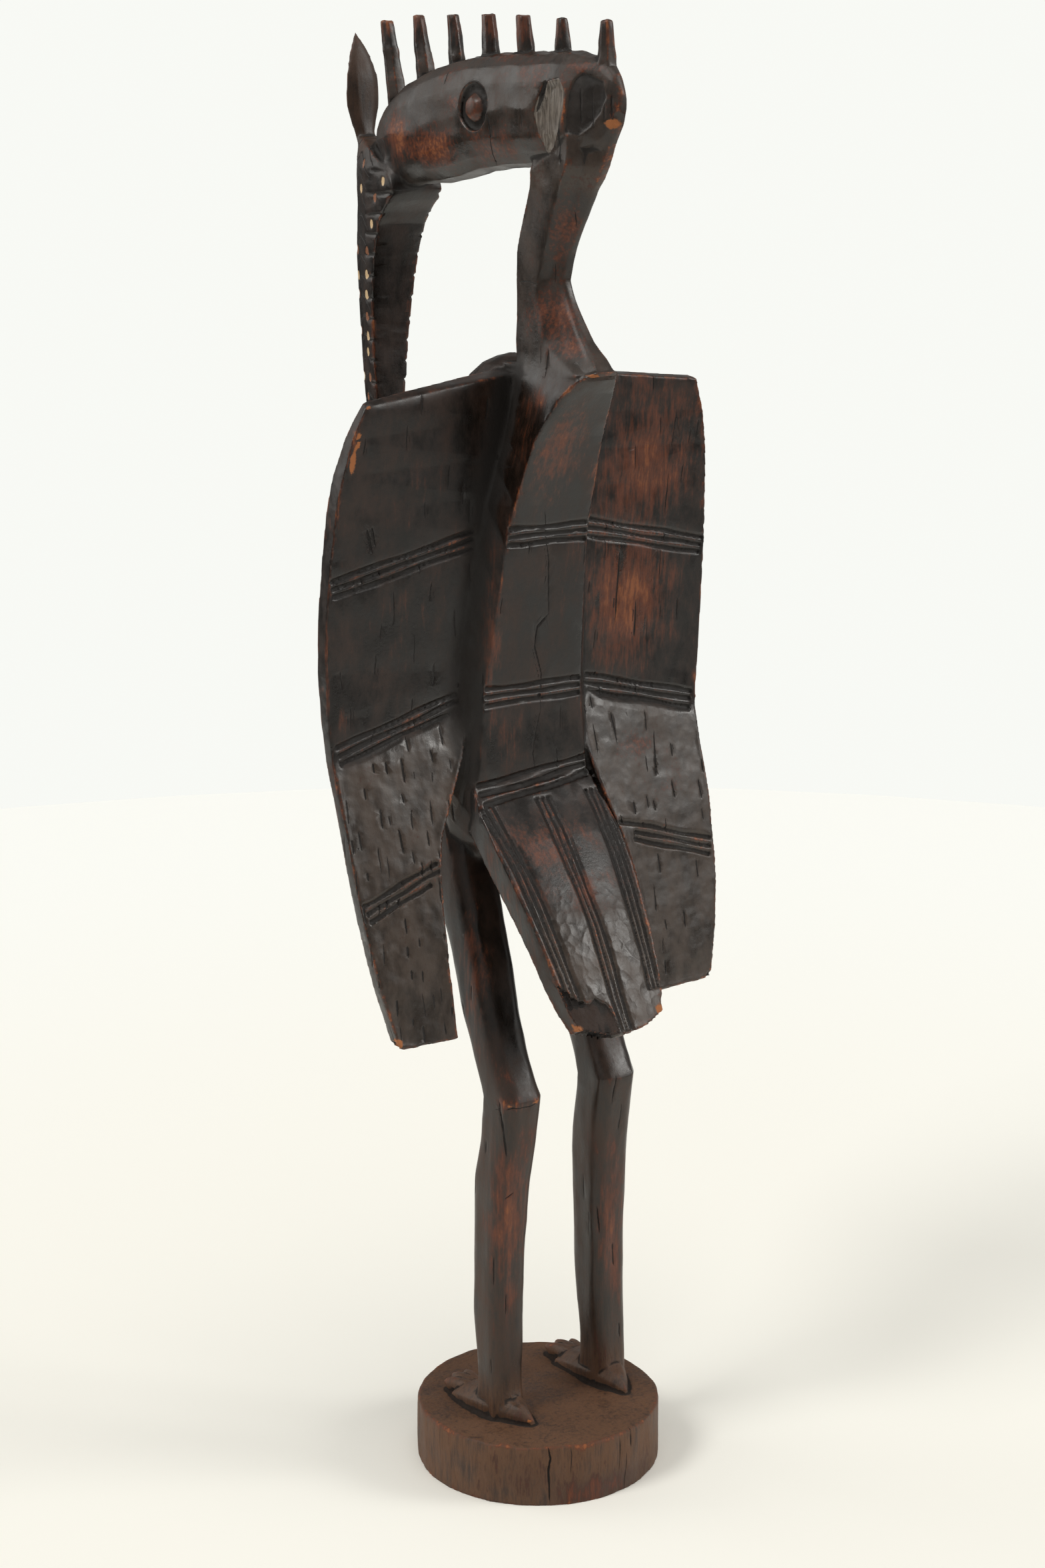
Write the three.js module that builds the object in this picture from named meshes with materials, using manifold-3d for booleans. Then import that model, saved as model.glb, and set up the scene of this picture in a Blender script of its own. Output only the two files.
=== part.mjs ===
// A tall hornbill figure carved from one block of dark wood, standing on a round plinth of the same block.
// Millimetres, +Z up. The origin is the centre of the plinth's underside. The bird looks along -Y, its left is +X.
// The carving is free form, so its stations are written in thousandths of the figure's height above the plinth.

import * as THREE from 'three';
import { mergeVertices } from 'three/addons/utils/BufferGeometryUtils.js';
import Module from 'manifold-3d';

const wasm = await Module();
wasm.setup();

// Driving sizes, in millimetres
const figureHeight = 1440;
const plinthHeight = 66;
const plinthRadius = 130;
const plinthEdgeRound = 3;
const plinthFootEase = 1;
const plinthSides = 48;
const midplaneX = -12;
const grooveWidth = 7.6;
const grooveDepth = 3.2;
const groovePitch = 8.2;
const grooveWander = 0.9;
const grooveLip = 2.4;
const eyeRingRadius = 17.5;
const eyeRingTube = 3.6;
const eyeBossRadius = 13.5;
const eyeBossRise = 5.5;
const eyeBossSink = 1.5;
const footSink = 3;

const share = figureHeight / 1000;
const grooveCount = 3;

const patina = new THREE.MeshStandardMaterial({ color: 0x2a1a13, roughness: 0.5, metalness: 0 });

// A point of the figure: x outward from its middle plane on the given side, y and z in shares of its height.
function at(side, x, y, z) {
  return new THREE.Vector3(midplaneX + side * x * share, y * share, plinthHeight + z * share);
}

// Six times the volume that a triangle list encloses, negative when its faces point inwards.
function signedVolume(points, triangles) {
  let sum = 0;
  for (let i = 0; i < triangles.length; i += 3) {
    const [a, b, c] = [points[triangles[i]], points[triangles[i + 1]], points[triangles[i + 2]]];
    sum += a.dot(new THREE.Vector3().crossVectors(b, c));
  }
  return sum;
}

function closedGeometry(points, triangles) {
  const outward = signedVolume(points, triangles) > 0;
  const index = [];
  for (let i = 0; i < triangles.length; i += 3) {
    const [a, b, c] = triangles.slice(i, i + 3);
    index.push(a, outward ? b : c, outward ? c : b);
  }
  const geometry = new THREE.BufferGeometry();
  geometry.setAttribute('position', new THREE.Float32BufferAttribute(points.flatMap((p) => [p.x, p.y, p.z]), 3));
  geometry.setIndex(index);
  return geometry;
}

// Rings of equal count joined into one closed skin, with a fan over each end.
function skin(rings) {
  const count = rings[0].length;
  const points = rings.flat();
  const triangles = [];
  for (let r = 0; r + 1 < rings.length; r += 1) {
    for (let i = 0; i < count; i += 1) {
      const j = (i + 1) % count;
      const [a, b, c, d] = [r * count + i, r * count + j, (r + 1) * count + i, (r + 1) * count + j];
      triangles.push(a, b, c, c, b, d);
    }
  }
  for (const [start, flip] of [[0, true], [(rings.length - 1) * count, false]]) {
    const centre = points.slice(start, start + count).reduce((sum, p) => sum.add(p), new THREE.Vector3());
    points.push(centre.divideScalar(count));
    for (let i = 0; i < count; i += 1) {
      const [a, b] = [start + i, start + (i + 1) % count];
      triangles.push(flip ? b : a, flip ? a : b, points.length - 1);
    }
  }
  return closedGeometry(points, triangles);
}

// A smooth skin: each corner of the stations runs on a curve, read at the given number of rings.
function loft(stations, ringCount) {
  const rails = stations[0].map((_, i) => new THREE.CatmullRomCurve3(stations.map((s) => s[i]), false, 'centripetal'));
  const rings = [];
  for (let k = 0; k < ringCount; k += 1) {
    rings.push(rails.map((rail) => rail.getPoint(k / (ringCount - 1))));
  }
  return rings;
}

// Both halves of an outline whose points are given for one side, rear first and front last.
function mirrored(half) {
  const other = half.map((point) => [-point[0], point[1]]).reverse();
  return [...half, ...other];
}

function planRing(z, half) {
  return mirrored(half).map(([x, y]) => at(1, x, y, z));
}

// Solids and their joining

function solid(geometry) {
  const bare = geometry.clone();
  bare.deleteAttribute('normal');
  bare.deleteAttribute('uv');
  const merged = mergeVertices(bare, 1e-4);
  return new wasm.Manifold(new wasm.Mesh({
    numProp: 3,
    vertProperties: new Float32Array(merged.attributes.position.array),
    triVerts: new Uint32Array(merged.index.array),
  }));
}

function geometryOf(manifold) {
  const mesh = manifold.getMesh();
  const geometry = new THREE.BufferGeometry();
  geometry.setAttribute('position', new THREE.BufferAttribute(new Float32Array(mesh.vertProperties), 3));
  geometry.setIndex(new THREE.BufferAttribute(new Uint32Array(mesh.triVerts), 1));
  return geometry;
}

function placed(geometry, position, rotation = new THREE.Euler()) {
  const matrix = new THREE.Matrix4().makeRotationFromEuler(rotation).setPosition(position);
  return geometry.applyMatrix4(matrix);
}

// The round plinth, turned, with its top edge eased

function plinth() {
  const [ease, foot] = [plinthEdgeRound, plinthFootEase];
  const shoulder = ease * (1 - Math.SQRT1_2);
  const profile = [[0, 0], [plinthRadius - foot, 0], [plinthRadius, foot], [plinthRadius, plinthHeight - ease],
    [plinthRadius - shoulder, plinthHeight - shoulder], [plinthRadius - ease, plinthHeight], [0, plinthHeight]];
  const turned = new THREE.LatheGeometry(profile.map(([r, z]) => new THREE.Vector2(r, z)), plinthSides);
  return turned.rotateX(Math.PI / 2);
}

// Legs: an eight-sided bar that leans back to the hock and drops straight to the foot

const legStations = [
  // z, middle x, middle y, width, depth
  [478, 32, -70, 36, 44],
  [444, 37, -64, 42, 48],
  [398, 40.5, -46, 39, 42],
  [341, 41.5, -23.5, 37, 38],
  [305, 42.5, -12, 35.5, 37],
  [268, 43.5, 4, 34, 36.5],
  [248, 43, 14.5, 34, 38.5],
  [246, 43, 14.5, 33.5, 38],
  [212, 42.5, 9.5, 33.5, 37],
  [182, 44.5, 4.5, 33.5, 37.5],
  [127, 46, 2.5, 31.5, 34.5],
  [82, 47, 2.5, 30.5, 33.5],
  [37, 48, 5, 28, 30],
];
const legCornerCut = 0.2;

function legRing(side, [z, x, y, width, depth]) {
  const [a, b] = [width / 2, depth / 2];
  const cut = legCornerCut * Math.min(width, depth);
  const corners = [[a, b - cut], [a - cut, b], [-a + cut, b], [-a, b - cut],
    [-a, -b + cut], [-a + cut, -b], [a - cut, -b], [a, -b + cut]];
  return corners.map(([dx, dy]) => at(side, x + dx, y + dy, z));
}

function leg(side) {
  const last = legStations[legStations.length - 1];
  const foot = [-footSink / share, last[1], last[2] + 1, last[3], last[4] + 1];
  return skin([...legStations, foot].map((station) => legRing(side, station)));
}

// Foot: a wedge from the heel spur to the ball, with three round toes

const footStations = [
  // y, middle x, half width, height
  [40.5, 43.5, 1.5, 4],
  [31, 45.5, 7, 12],
  [20, 47, 12, 17],
  [6, 48, 15.5, 18],
  [-12, 48.5, 17, 16.5],
  [-26, 48.5, 16.5, 12],
  [-35, 48.5, 14.5, 5],
];

function footBody(side) {
  const rings = footStations.map(([y, x, half, height]) => [
    [half, -2], [half, height * 0.45], [half * 0.55, height * 0.92], [0, height],
    [-half * 0.55, height * 0.92], [-half, height * 0.45], [-half, -2],
  ].map(([dx, z]) => at(side, x + dx, y, z)));
  return skin(rings);
}

const toeTips = [
  // x, y of each toe's tip, from the outer toe to the inner one
  [60, -50.5],
  [49, -56],
  [38, -54.5],
];
const toeRoot = [48, -12];
const [toeLength, toeWidth, toeHeight] = [40.3, 10.4, 13.9];
const toeLift = 0.38;

function toe(side, [tipX, tipY]) {
  const [length, width, height] = [toeLength * share, toeWidth * share, toeHeight * share];
  const capsule = new THREE.SphereGeometry(0.5, 8, 6).rotateX(Math.PI / 2).scale(width, length, height);
  const tip = at(side, tipX, tipY, 0);
  const heading = tip.clone().sub(at(side, toeRoot[0], toeRoot[1], 0)).normalize();
  const middle = tip.clone().addScaledVector(heading, -length / 2);
  middle.z = plinthHeight + height * toeLift;
  return placed(capsule, middle, new THREE.Euler(0, 0, Math.atan2(-heading.x, heading.y)));
}

// Trunk: back plate, flanks and the wing roots, standing behind the belly

const trunkStations = [
  // z, plate edge x and y, wing root x and y
  [765.5, 8.5, 66, 14.5, -19.5],
  [755.5, 20, 50, 15.5, -19.5],
  [739.5, 25.5, 37, 18, -19.5],
  [716.5, 30, 23, 23.5, -20],
  [688, 32.5, 12, 33, -21],
  [650.5, 35, 0, 44, -21.5],
  [608.5, 37, -7.5, 50.5, -25.5],
  [560.5, 40.5, -14.5, 54, -29],
  [524.5, 43.5, -18.5, 56, -32],
  [485.5, 46.5, -18.5, 61, -30],
  [459.5, 50.5, -19, 62, -34.5],
  [433.5, 50, -21, 58, -41.5],
  [412.5, 40.5, -29, 44, -46],
];
const trunkDepth = 24;
const trunkFrontNarrowing = 0.92;

function trunk() {
  const stations = trunkStations.map(([z, plateX, plateY, rootX, rootY]) => planRing(z, [
    [plateX, plateY], [rootX, rootY], [rootX * trunkFrontNarrowing, rootY - trunkDepth],
  ]));
  return skin(loft(stations, 17));
}

// Belly: the chest rounds up in front of the neck and swells forward to where the beak rests

const bellyStations = [
  // z, middle y, half width, half depth
  [770.5, -43, 2, 2],
  [768, -44, 11, 12],
  [761, -46, 21.5, 23.5],
  [750.5, -48.5, 29, 31],
  [732, -55, 36, 41],
  [700.5, -71, 43, 57.5],
  [662.5, -99, 50, 83],
  [638, -110, 54, 90.5],
  [600, -113, 57, 91],
  [558.5, -106, 58, 83],
  [516.5, -94, 57, 69],
  [475, -80, 53.5, 54],
  [440.5, -68, 48, 43],
  [416, -60, 37, 31],
  [404, -56, 21, 17],
];
const bellySides = 20;

function belly() {
  const stations = bellyStations.map(([z, y, halfWidth, halfDepth]) => {
    const ring = [];
    for (let i = 0; i < bellySides; i += 1) {
      const angle = (2 * Math.PI * i) / bellySides;
      ring.push(at(1, halfWidth * Math.cos(angle), y + halfDepth * Math.sin(angle), z));
    }
    return ring;
  });
  return skin(loft(stations, 17));
}

// Wings: boards that bow forward down to a bend, then flare back to a free lower end

const wingUpper = [
  // back face: root x, y, z and outer x, y, z, then the outer edge's thickness
  [12.5, -19.5, 759.5, 143, -12, 746, 8],
  [22, -21, 718, 155.5, -16.5, 714, 13],
  [30, -21, 683.5, 161, -21.5, 680, 14.5],
  [36, -21.5, 650.5, 165, -26, 640, 13],
  [40, -25.5, 603.5, 166.5, -30.5, 585, 13],
  [44, -30, 560.5, 165.5, -32, 541, 12],
  [46, -32.5, 525, 162.5, -31, 499.5, 10.5],
];
const wingLower = [
  [46, -32.5, 525, 162.5, -31, 499.5, 10.5],
  [64.5, -17.5, 480.5, 161.5, -21.5, 468, 10.5],
  [85, -8.5, 447, 161.5, -13, 440.5, 11],
  [92.5, -0.5, 421, 159.5, -5.5, 409, 11],
  [94.5, 4, 398.5, 158, 0.5, 386, 11],
  [96, 12, 360.5, 153.5, 7.5, 353.5, 11],
  [94.5, 21, 302, 142, 16.5, 301.5, 11],
];
// The right wing is the broader one: its free inner edge runs closer to the tail.
const rightInnerX = [46, 50, 60, 68, 74, 80, 84];
const wingRootThickness = 18;
const wingTopSlope = 1.8;
const wingRingCount = 9;

function wingRings(side, stations) {
  const corners = stations.map(([rootX, rootY, rootZ, outerX, outerY, outerZ, edge]) => [
    at(side, rootX, rootY, rootZ), at(side, outerX, outerY, outerZ),
    at(side, outerX - 1, outerY - edge, outerZ), at(side, rootX, rootY - wingRootThickness, rootZ),
  ]);
  return loft(corners, wingRingCount);
}

function wing(side) {
  const lowerStations = side > 0 ? wingLower : wingLower.map(([, ...rest], i) => [rightInnerX[i], ...rest]);
  const upper = wingRings(side, wingUpper);
  const lower = wingRings(side, lowerStations);
  for (const front of [2, 3]) {
    upper[0][front].z += wingTopSlope * share;
  }
  return skin([...upper, ...lower.slice(1)]);
}

// Tail: a thick board that leaves the back plate's foot and thins towards a rounded end

const tailStations = [
  // middle of the upper face y and z, half width, thickness
  [-26, 478, 50, 18],
  [-13, 458.5, 53, 23],
  [13, 431, 55.5, 23.5],
  [38, 398, 52, 22],
  [59.5, 365.5, 48, 20.5],
  [74.5, 336, 44, 18],
  [86, 314.5, 37.5, 15],
];
const tailEndDrop = 11;
const tailCrown = 3;
const tailUnderNarrowing = 0.96;

function tailRing([y, z, half, thickness], index, stations) {
  const [before, after] = [stations[Math.max(index - 1, 0)], stations[Math.min(index + 1, stations.length - 1)]];
  const along = new THREE.Vector2(after[0] - before[0], after[1] - before[1]).normalize();
  const [inY, inZ] = [along.y, -along.x];
  const last = index === stations.length - 1;
  return [-1, -0.5, 0, 0.5, 1].map((f) => {
    const drop = last ? tailEndDrop * (1 - f * f) : 0;
    const crown = tailCrown * (1 - f * f);
    return [f * half, y + along.x * drop - inY * crown, z + along.y * drop - inZ * crown];
  }).flatMap((p, i, row) => (i < 4 ? [p] : [p, ...[...row].reverse().map(([x, py, pz]) => [
    x * tailUnderNarrowing, py + inY * thickness, pz + inZ * thickness])])).map(([x, py, pz]) => at(1, x, py, pz));
}

function tail() {
  return skin(loft(tailStations.map(tailRing), 10));
}

// Neck: flat in front, hollowed behind each side arris, with a narrow ridge at the back

const neckStations = [
  // z, front corner x and y, side arris x and y, back ridge x and y
  [754, 13, -18, 16, 44, 8, 42],
  [763, 14, -20, 18, 52, 8, 64.5],
  [773, 13, -21.5, 15, 26, 7, 56],
  [783.5, 12.5, -22, 14.5, 11.5, 5.5, 45],
  [796, 12, -22.5, 14.5, 9, 5, 35.5],
  [811, 12, -22.5, 14, 4.5, 4, 26],
  [823.5, 12, -22.5, 14, 4.5, 3.5, 20.5],
  [841.5, 12, -21.5, 14.5, 11, 3.5, 26],
  [863, 12, -15.5, 15.5, 19.5, 3, 38.2],
  [882.5, 12.5, -8, 16.5, 30, 3, 50.5],
  [900, 14, -2.5, 18, 41, 3, 62.5],
  [926.5, 15, 5, 18, 42, 3, 73.5],
];
const neckHollow = 3;

function neck() {
  const rings = neckStations.map(([z, frontX, frontY, sideX, sideY, ridgeX, ridgeY]) => planRing(z, [
    [ridgeX, ridgeY],
    [(ridgeX + sideX) / 2 - neckHollow * 0.6, (ridgeY + sideY) / 2 - neckHollow],
    [sideX, sideY], [frontX, frontY],
  ]));
  return skin(rings);
}

// Head: a long arched tube that ends above the beak; behind the cheeks two flats meet in a keel

const headKeel = [
  [79, 3.2, 947, 934],
  [73, 6.5, 959.5, 922],
  [63, 10.5, 969.5, 909],
];
const headStations = [
  // y, half width, top z, bottom z
  [39.5, 19.5, 974, 902],
  [21, 22.5, 975, 900],
  [-21, 24.5, 974.5, 897.5],
  [-59, 25, 973.5, 894],
  [-97, 24.5, 969, 886.5],
  [-132, 23, 961.5, 882.5],
  [-159.5, 21, 952.5, 882],
  [-180.5, 17, 939.5, 887],
  [-194.5, 11, 927, 894],
  [-201.5, 4, 915, 903],
];
const headSides = 16;
const headSquareness = 2.5;

function headRing([y, half, top, bottom]) {
  const [middle, rise] = [(top + bottom) / 2, (top - bottom) / 2];
  const ring = [];
  for (let i = 0; i < headSides; i += 1) {
    const angle = (2 * Math.PI * i) / headSides;
    const [c, s] = [Math.cos(angle), Math.sin(angle)];
    const x = half * Math.sign(c) * Math.abs(c) ** (2 / headSquareness);
    const z = middle + rise * Math.sign(s) * Math.abs(s) ** (2 / headSquareness);
    ring.push(at(1, x, y, z));
  }
  return ring;
}

function head() {
  return skin([...headKeel.map(headRing), ...loft(headStations.map(headRing), 15)]);
}

// Beak: a long blade with a flat inner face; a ridged band clasps its sides and front

const beakStations = [
  // z, inner face edge x and y, band arris x and y, front corner x and y
  [914.5, 9.5, -212.5, 9, -218, 7, -225],
  [903.5, 19.5, -186, 18, -198, 12.5, -216.5],
  [893, 23.5, -165.5, 21, -195, 14.5, -214],
  [881, 23.5, -155, 20, -195, 15.5, -213],
  [869.5, 23, -163, 19.5, -196.5, 15, -213],
  [857, 21.5, -175.5, 19, -197, 14.5, -214],
  [832.5, 20, -184, 18.5, -198.5, 14, -216],
  [812, 19, -188, 17.5, -200, 13, -216.5],
  [791, 17.5, -191, 16.5, -201.5, 12.5, -216],
  [766.5, 16, -193, 15, -201.5, 11.5, -215.5],
  [725, 13, -194, 12.5, -200.5, 9.5, -214],
  [683.5, 9.5, -195, 9, -200, 6, -210.5],
  [648.5, 6, -197, 5.5, -200.5, 4, -207.5],
  [631, 3, -200, 2.5, -202, 1.5, -205.5],
];

function beak() {
  const rings = beakStations.map(([z, innerX, innerY, arrisX, arrisY, frontX, frontY]) => planRing(z, [
    [innerX, innerY], [arrisX, arrisY], [frontX, frontY], [frontX * 0.35, frontY - 2],
  ]));
  return skin(loft(rings, 21));
}

// The pointed leaf that stands in front of the forehead, a thin blade on a short stem

const leafStations = [
  // z, half width, middle y, thickness
  [897, 6, -220, 11],
  [914.5, 8.5, -223.5, 10.5],
  [924.5, 12, -225.5, 9.5],
  [939, 15.5, -226.5, 9],
  [954, 15.5, -227, 8],
  [966, 12.5, -228.5, 6.5],
  [977, 8.5, -231.5, 5],
  [989.5, 1, -235.5, 2],
];

function leaf() {
  const stations = leafStations.map(([z, half, y, thickness]) => planRing(z, [
    [half * 0.45, y + thickness / 2], [half, y], [half * 0.45, y - thickness / 2],
  ]));
  return skin(loft(stations, 11));
}

// Crest: seven six-sided pegs, each flaring to its root

const crestPegs = [
  // tip y and z, root y and z, tip width, root width
  [-194, 996.5, -182, 944.5, 10.5, 15.5],
  [-154, 1000, -145, 957, 9.5, 15],
  [-112.5, 1000, -105.5, 963, 9.5, 13.5],
  [-70, 999.5, -66.5, 968, 10.5, 14],
  [-30, 998, -26.5, 970, 11, 14.5],
  [13, 995.5, 14.5, 970, 8, 14],
  [61, 994, 61, 964, 9, 14.5],
];
const pegSides = 6;
const pegRoot = 10;
const pegTurn = 0.17;

function peg([tipY, tipZ, rootY, rootZ, tipWidth, rootWidth], order) {
  const ring = (y, z, width) => {
    const points = [];
    for (let i = 0; i < pegSides; i += 1) {
      const angle = (2 * Math.PI * (i + order * pegTurn)) / pegSides;
      points.push(at(1, (width / 2) * Math.cos(angle), y + (width / 2) * Math.sin(angle), z));
    }
    return points;
  };
  return skin([ring(rootY, rootZ - pegRoot, rootWidth), ring(rootY, rootZ, rootWidth), ring(tipY, tipZ, tipWidth)]);
}

// Incised work is cut where a line thrown at the carved surface meets it.

function surfaceHits(target, points, outward) {
  target.geometry.computeBoundingSphere();
  const reach = target.geometry.boundingSphere.radius;
  const caster = new THREE.Raycaster();
  const hits = [];
  for (const point of points) {
    caster.set(point.clone().addScaledVector(outward, reach), outward.clone().negate());
    const [hit] = caster.intersectObject(target);
    if (hit) {
      hits.push(hit.point);
    }
  }
  return hits;
}

// One V groove along the surface from one point to another, a little wandering as a hand cuts it.
function groove(target, from, to, outward, phase, steps) {
  const direction = to.clone().sub(from).normalize();
  const across = new THREE.Vector3().crossVectors(outward, direction).normalize();
  const guide = [];
  for (let i = 0; i <= steps; i += 1) {
    const wander = grooveWander * Math.sin(phase + i * 1.7);
    guide.push(from.clone().lerp(to, i / steps).addScaledVector(across, wander));
  }
  const spread = (grooveWidth / 2) * (1 + grooveLip / grooveDepth);
  const rings = surfaceHits(target, guide, outward).map((hit) => [
    hit.clone().addScaledVector(outward, -grooveDepth),
    hit.clone().addScaledVector(outward, grooveLip).addScaledVector(across, spread),
    hit.clone().addScaledVector(outward, grooveLip).addScaledVector(across, -spread),
  ]);
  return skin(rings);
}

// Three grooves side by side, spread across their run.
function grooveBand(target, from, to, outward, steps) {
  const direction = to.clone().sub(from).normalize();
  const across = new THREE.Vector3().crossVectors(outward, direction).normalize();
  const cuts = [];
  for (let i = 0; i < grooveCount; i += 1) {
    const shift = (i - (grooveCount - 1) / 2) * groovePitch;
    const [a, b] = [from, to].map((p) => p.clone().addScaledVector(across, shift));
    cuts.push(groove(target, a, b, outward, i * 2.1 + (14 * from.z) / figureHeight, steps));
  }
  return cuts;
}

const wingBands = [
  // inner x, y, z and outer x, y, z of the middle groove, and how far its face leans back
  [47, -22, 646, 163, -28, 621, 0],
  [56, -32, 530, 158, -32, 504.5, 0],
  [93, -1, 420, 155, -8, 395, 0.4],
];
const rightLowBandStart = [66, -1, 425];
const plateBands = [
  // half width, y, z, slope across, lean
  [35, -1, 647.5, -0.8, -0.1],
  [43, -18, 532.5, -1, 0],
  [49, -18.5, 468.3, 8.5, 0],
];
const tailBands = [
  // middle groove's x at the tail's root and at its end
  [-47, -33],
  [0, 0],
  [47, 33],
];

function wingGrooves(target, side) {
  return wingBands.flatMap(([x0, y0, z0, x1, y1, z1, lean]) => {
    const outward = new THREE.Vector3(0, 1, lean).normalize();
    const inner = side < 0 && lean > 0 ? rightLowBandStart : [x0, y0, z0];
    return grooveBand(target, at(side, ...inner), at(side, x1, y1, z1), outward, 6);
  });
}

function plateGrooves(target) {
  return plateBands.flatMap(([half, y, z, slope, lean]) => {
    const outward = new THREE.Vector3(0, 1, lean).normalize();
    return grooveBand(target, at(-1, half, y, z + slope / 2), at(1, half, y, z - slope / 2), outward, 5);
  });
}

// Where the tail's grooves start and end, along y and z from its second and last stations
const tailGrooveStart = [2, -3];
const tailGrooveEnd = [6, -7];
const [rootCrowding, endCrowding] = [0.9, 0.75];

function tailGrooves(target) {
  const outward = new THREE.Vector3(0, 0.84, 0.54);
  const [first, last] = [tailStations[1], tailStations[tailStations.length - 1]];
  return tailBands.flatMap(([startX, endX]) => {
    const run = [];
    for (let i = 0; i < grooveCount; i += 1) {
      const shift = ((i - 1) * groovePitch) / share;
      const from = at(1, startX + shift * rootCrowding, first[0] + tailGrooveStart[0], first[1] + tailGrooveStart[1]);
      const to = at(1, endX + shift * endCrowding, last[0] + tailGrooveEnd[0], last[1] + tailGrooveEnd[1]);
      run.push(groove(target, from, to, outward, i + startX, 7));
    }
    return run;
  });
}

// Eyes: a round sunk ring with a low boss inside, on each side of the head

const eyeCentre = [25, -54.7, 937];

function eyeOn(target, side) {
  const outward = new THREE.Vector3(side, 0, 0);
  const [spot] = surfaceHits(target, [at(side, ...eyeCentre)], outward);
  const ring = new THREE.TorusGeometry(eyeRingRadius, eyeRingTube, 6, 18).rotateY(Math.PI / 2);
  const boss = new THREE.SphereGeometry(eyeBossRadius, 12, 8).scale(eyeBossRise / eyeBossRadius, 1, 1);
  return {
    ring: solid(placed(ring, spot)),
    boss: solid(placed(boss, spot.clone().addScaledVector(outward, -eyeBossSink))),
  };
}

// The whole figure: forms joined first, then the incised work

function carve() {
  const forms = [plinth(), trunk(), belly(), tail(), neck(), head(), beak(), leaf(), ...crestPegs.map(peg)];
  for (const side of [-1, 1]) {
    forms.push(leg(side), footBody(side), wing(side), ...toeTips.map((tip) => toe(side, tip)));
  }
  let figure = wasm.Manifold.union(forms.map(solid));
  const target = new THREE.Mesh(geometryOf(figure), patina);
  const cuts = [...wingGrooves(target, -1), ...wingGrooves(target, 1), ...plateGrooves(target), ...tailGrooves(target)];
  const eyes = [-1, 1].map((side) => eyeOn(target, side));
  figure = figure.subtract(wasm.Manifold.union([...cuts.map(solid), ...eyes.map((eye) => eye.ring)]));
  return figure.add(wasm.Manifold.union(eyes.map((eye) => eye.boss)));
}

const bird = new THREE.Mesh(geometryOf(carve()), patina);
bird.name = 'carved_hornbill';

const group = new THREE.Group();
group.add(bird);

export default group;
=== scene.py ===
"""A tall hornbill figure carved from one block of dark wood, with its worn finish, studio light and camera.

The frame's solid is taken over as one dense surface. The carver's and the years' marks are sunk into it, such as
adze facets, checks along the grain, nicks and broken edges. Then the surface is thinned and dressed.

Places on the bird are written in shares, which are thousandths of its height above the plinth: x to its left from
its middle plane, y to its back and z up. Sizes of marks are in millimetres.
"""

import logging
import math
from dataclasses import dataclass
from enum import Enum

import bmesh
import bpy
import numpy as np
from mathutils import Euler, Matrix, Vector


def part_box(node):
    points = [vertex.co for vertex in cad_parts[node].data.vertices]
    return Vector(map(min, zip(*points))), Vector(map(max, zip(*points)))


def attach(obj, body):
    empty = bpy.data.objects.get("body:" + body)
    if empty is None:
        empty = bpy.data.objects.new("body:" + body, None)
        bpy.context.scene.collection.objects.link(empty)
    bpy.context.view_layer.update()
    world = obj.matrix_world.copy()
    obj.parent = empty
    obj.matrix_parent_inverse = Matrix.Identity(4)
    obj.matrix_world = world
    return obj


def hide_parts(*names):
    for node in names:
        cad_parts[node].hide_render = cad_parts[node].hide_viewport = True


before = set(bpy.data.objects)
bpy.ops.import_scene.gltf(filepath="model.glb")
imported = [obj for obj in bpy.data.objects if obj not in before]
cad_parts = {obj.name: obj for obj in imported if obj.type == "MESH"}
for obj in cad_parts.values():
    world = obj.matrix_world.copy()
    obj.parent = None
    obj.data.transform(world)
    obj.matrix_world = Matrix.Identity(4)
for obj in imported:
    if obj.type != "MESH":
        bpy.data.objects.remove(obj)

log = logging.getLogger("hornbill")

NODE = "carved_hornbill"
BODY = "root"
MM = 0.001
HASH_FACTORS = (374761393, 668265263, 2246822519)
HASH_MIX = 1274126177

# the two ends of a step, a place or a colour, and one input or output of a node
Step = tuple[float, float]
Triple = tuple[float, float, float]
Socket = bpy.types.NodeSocket


class Side(Enum):
    """The bird's two sides, as the sign of x."""

    LEFT = 1
    RIGHT = -1


class Paint(Enum):
    """The surface attributes that the finish reads."""

    WEAR = "wear"
    RAW = "raw"
    ARRIS = "arris"
    # painted shade: where the finish darkens grooves, hollows and the deep corner by the left wing
    HOLLOW = "hollow"
    SHEEN = "sheen"
    DIMPLE = "dimple"
    MATTE = "matte"
    # painted sheen: a paler grey tone where light is reflected
    PALE_SHEEN = "pale"
    SPOT = "spot"
    SPOT_TONE = "spot_tone"
    SPLIT = "split"
    SPLIT_WIDTH = "split_width"
    TORN = "torn"
    FLAT = "flat"
    BROKEN = "broken"
    EYE = "eye"
    CLASP = "clasp"
    SCALES = "scales"
    CHEST = "chest"
    NET_UP = "net_up"
    NET_DOWN = "net_down"


@dataclass(frozen=True)
class Figure:
    """Where the bird stands, which turns shares into metres and back."""

    plinth_top: float = 0.066
    midplane: float = -0.012
    height: float = 1.440

    @property
    def share(self) -> float:
        """One thousandth of the bird's height, in metres."""
        return self.height / 1000

    def point(self, x: float, y: float, z: float) -> np.ndarray:
        """A place in shares, as its three coordinates in metres."""
        share = self.share
        return np.array([self.midplane + x * share, y * share, self.plinth_top + z * share])

    def shares(self, places: np.ndarray) -> tuple[np.ndarray, np.ndarray, np.ndarray]:
        """The x, y and z shares of rows of places in metres."""
        x = (places[:, 0] - self.midplane) / self.share
        return x, places[:, 1] / self.share, (places[:, 2] - self.plinth_top) / self.share


FIGURE = Figure()
NOISE_TURN = np.array(Euler((0.31, -0.26, 0.65)).to_matrix())


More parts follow.
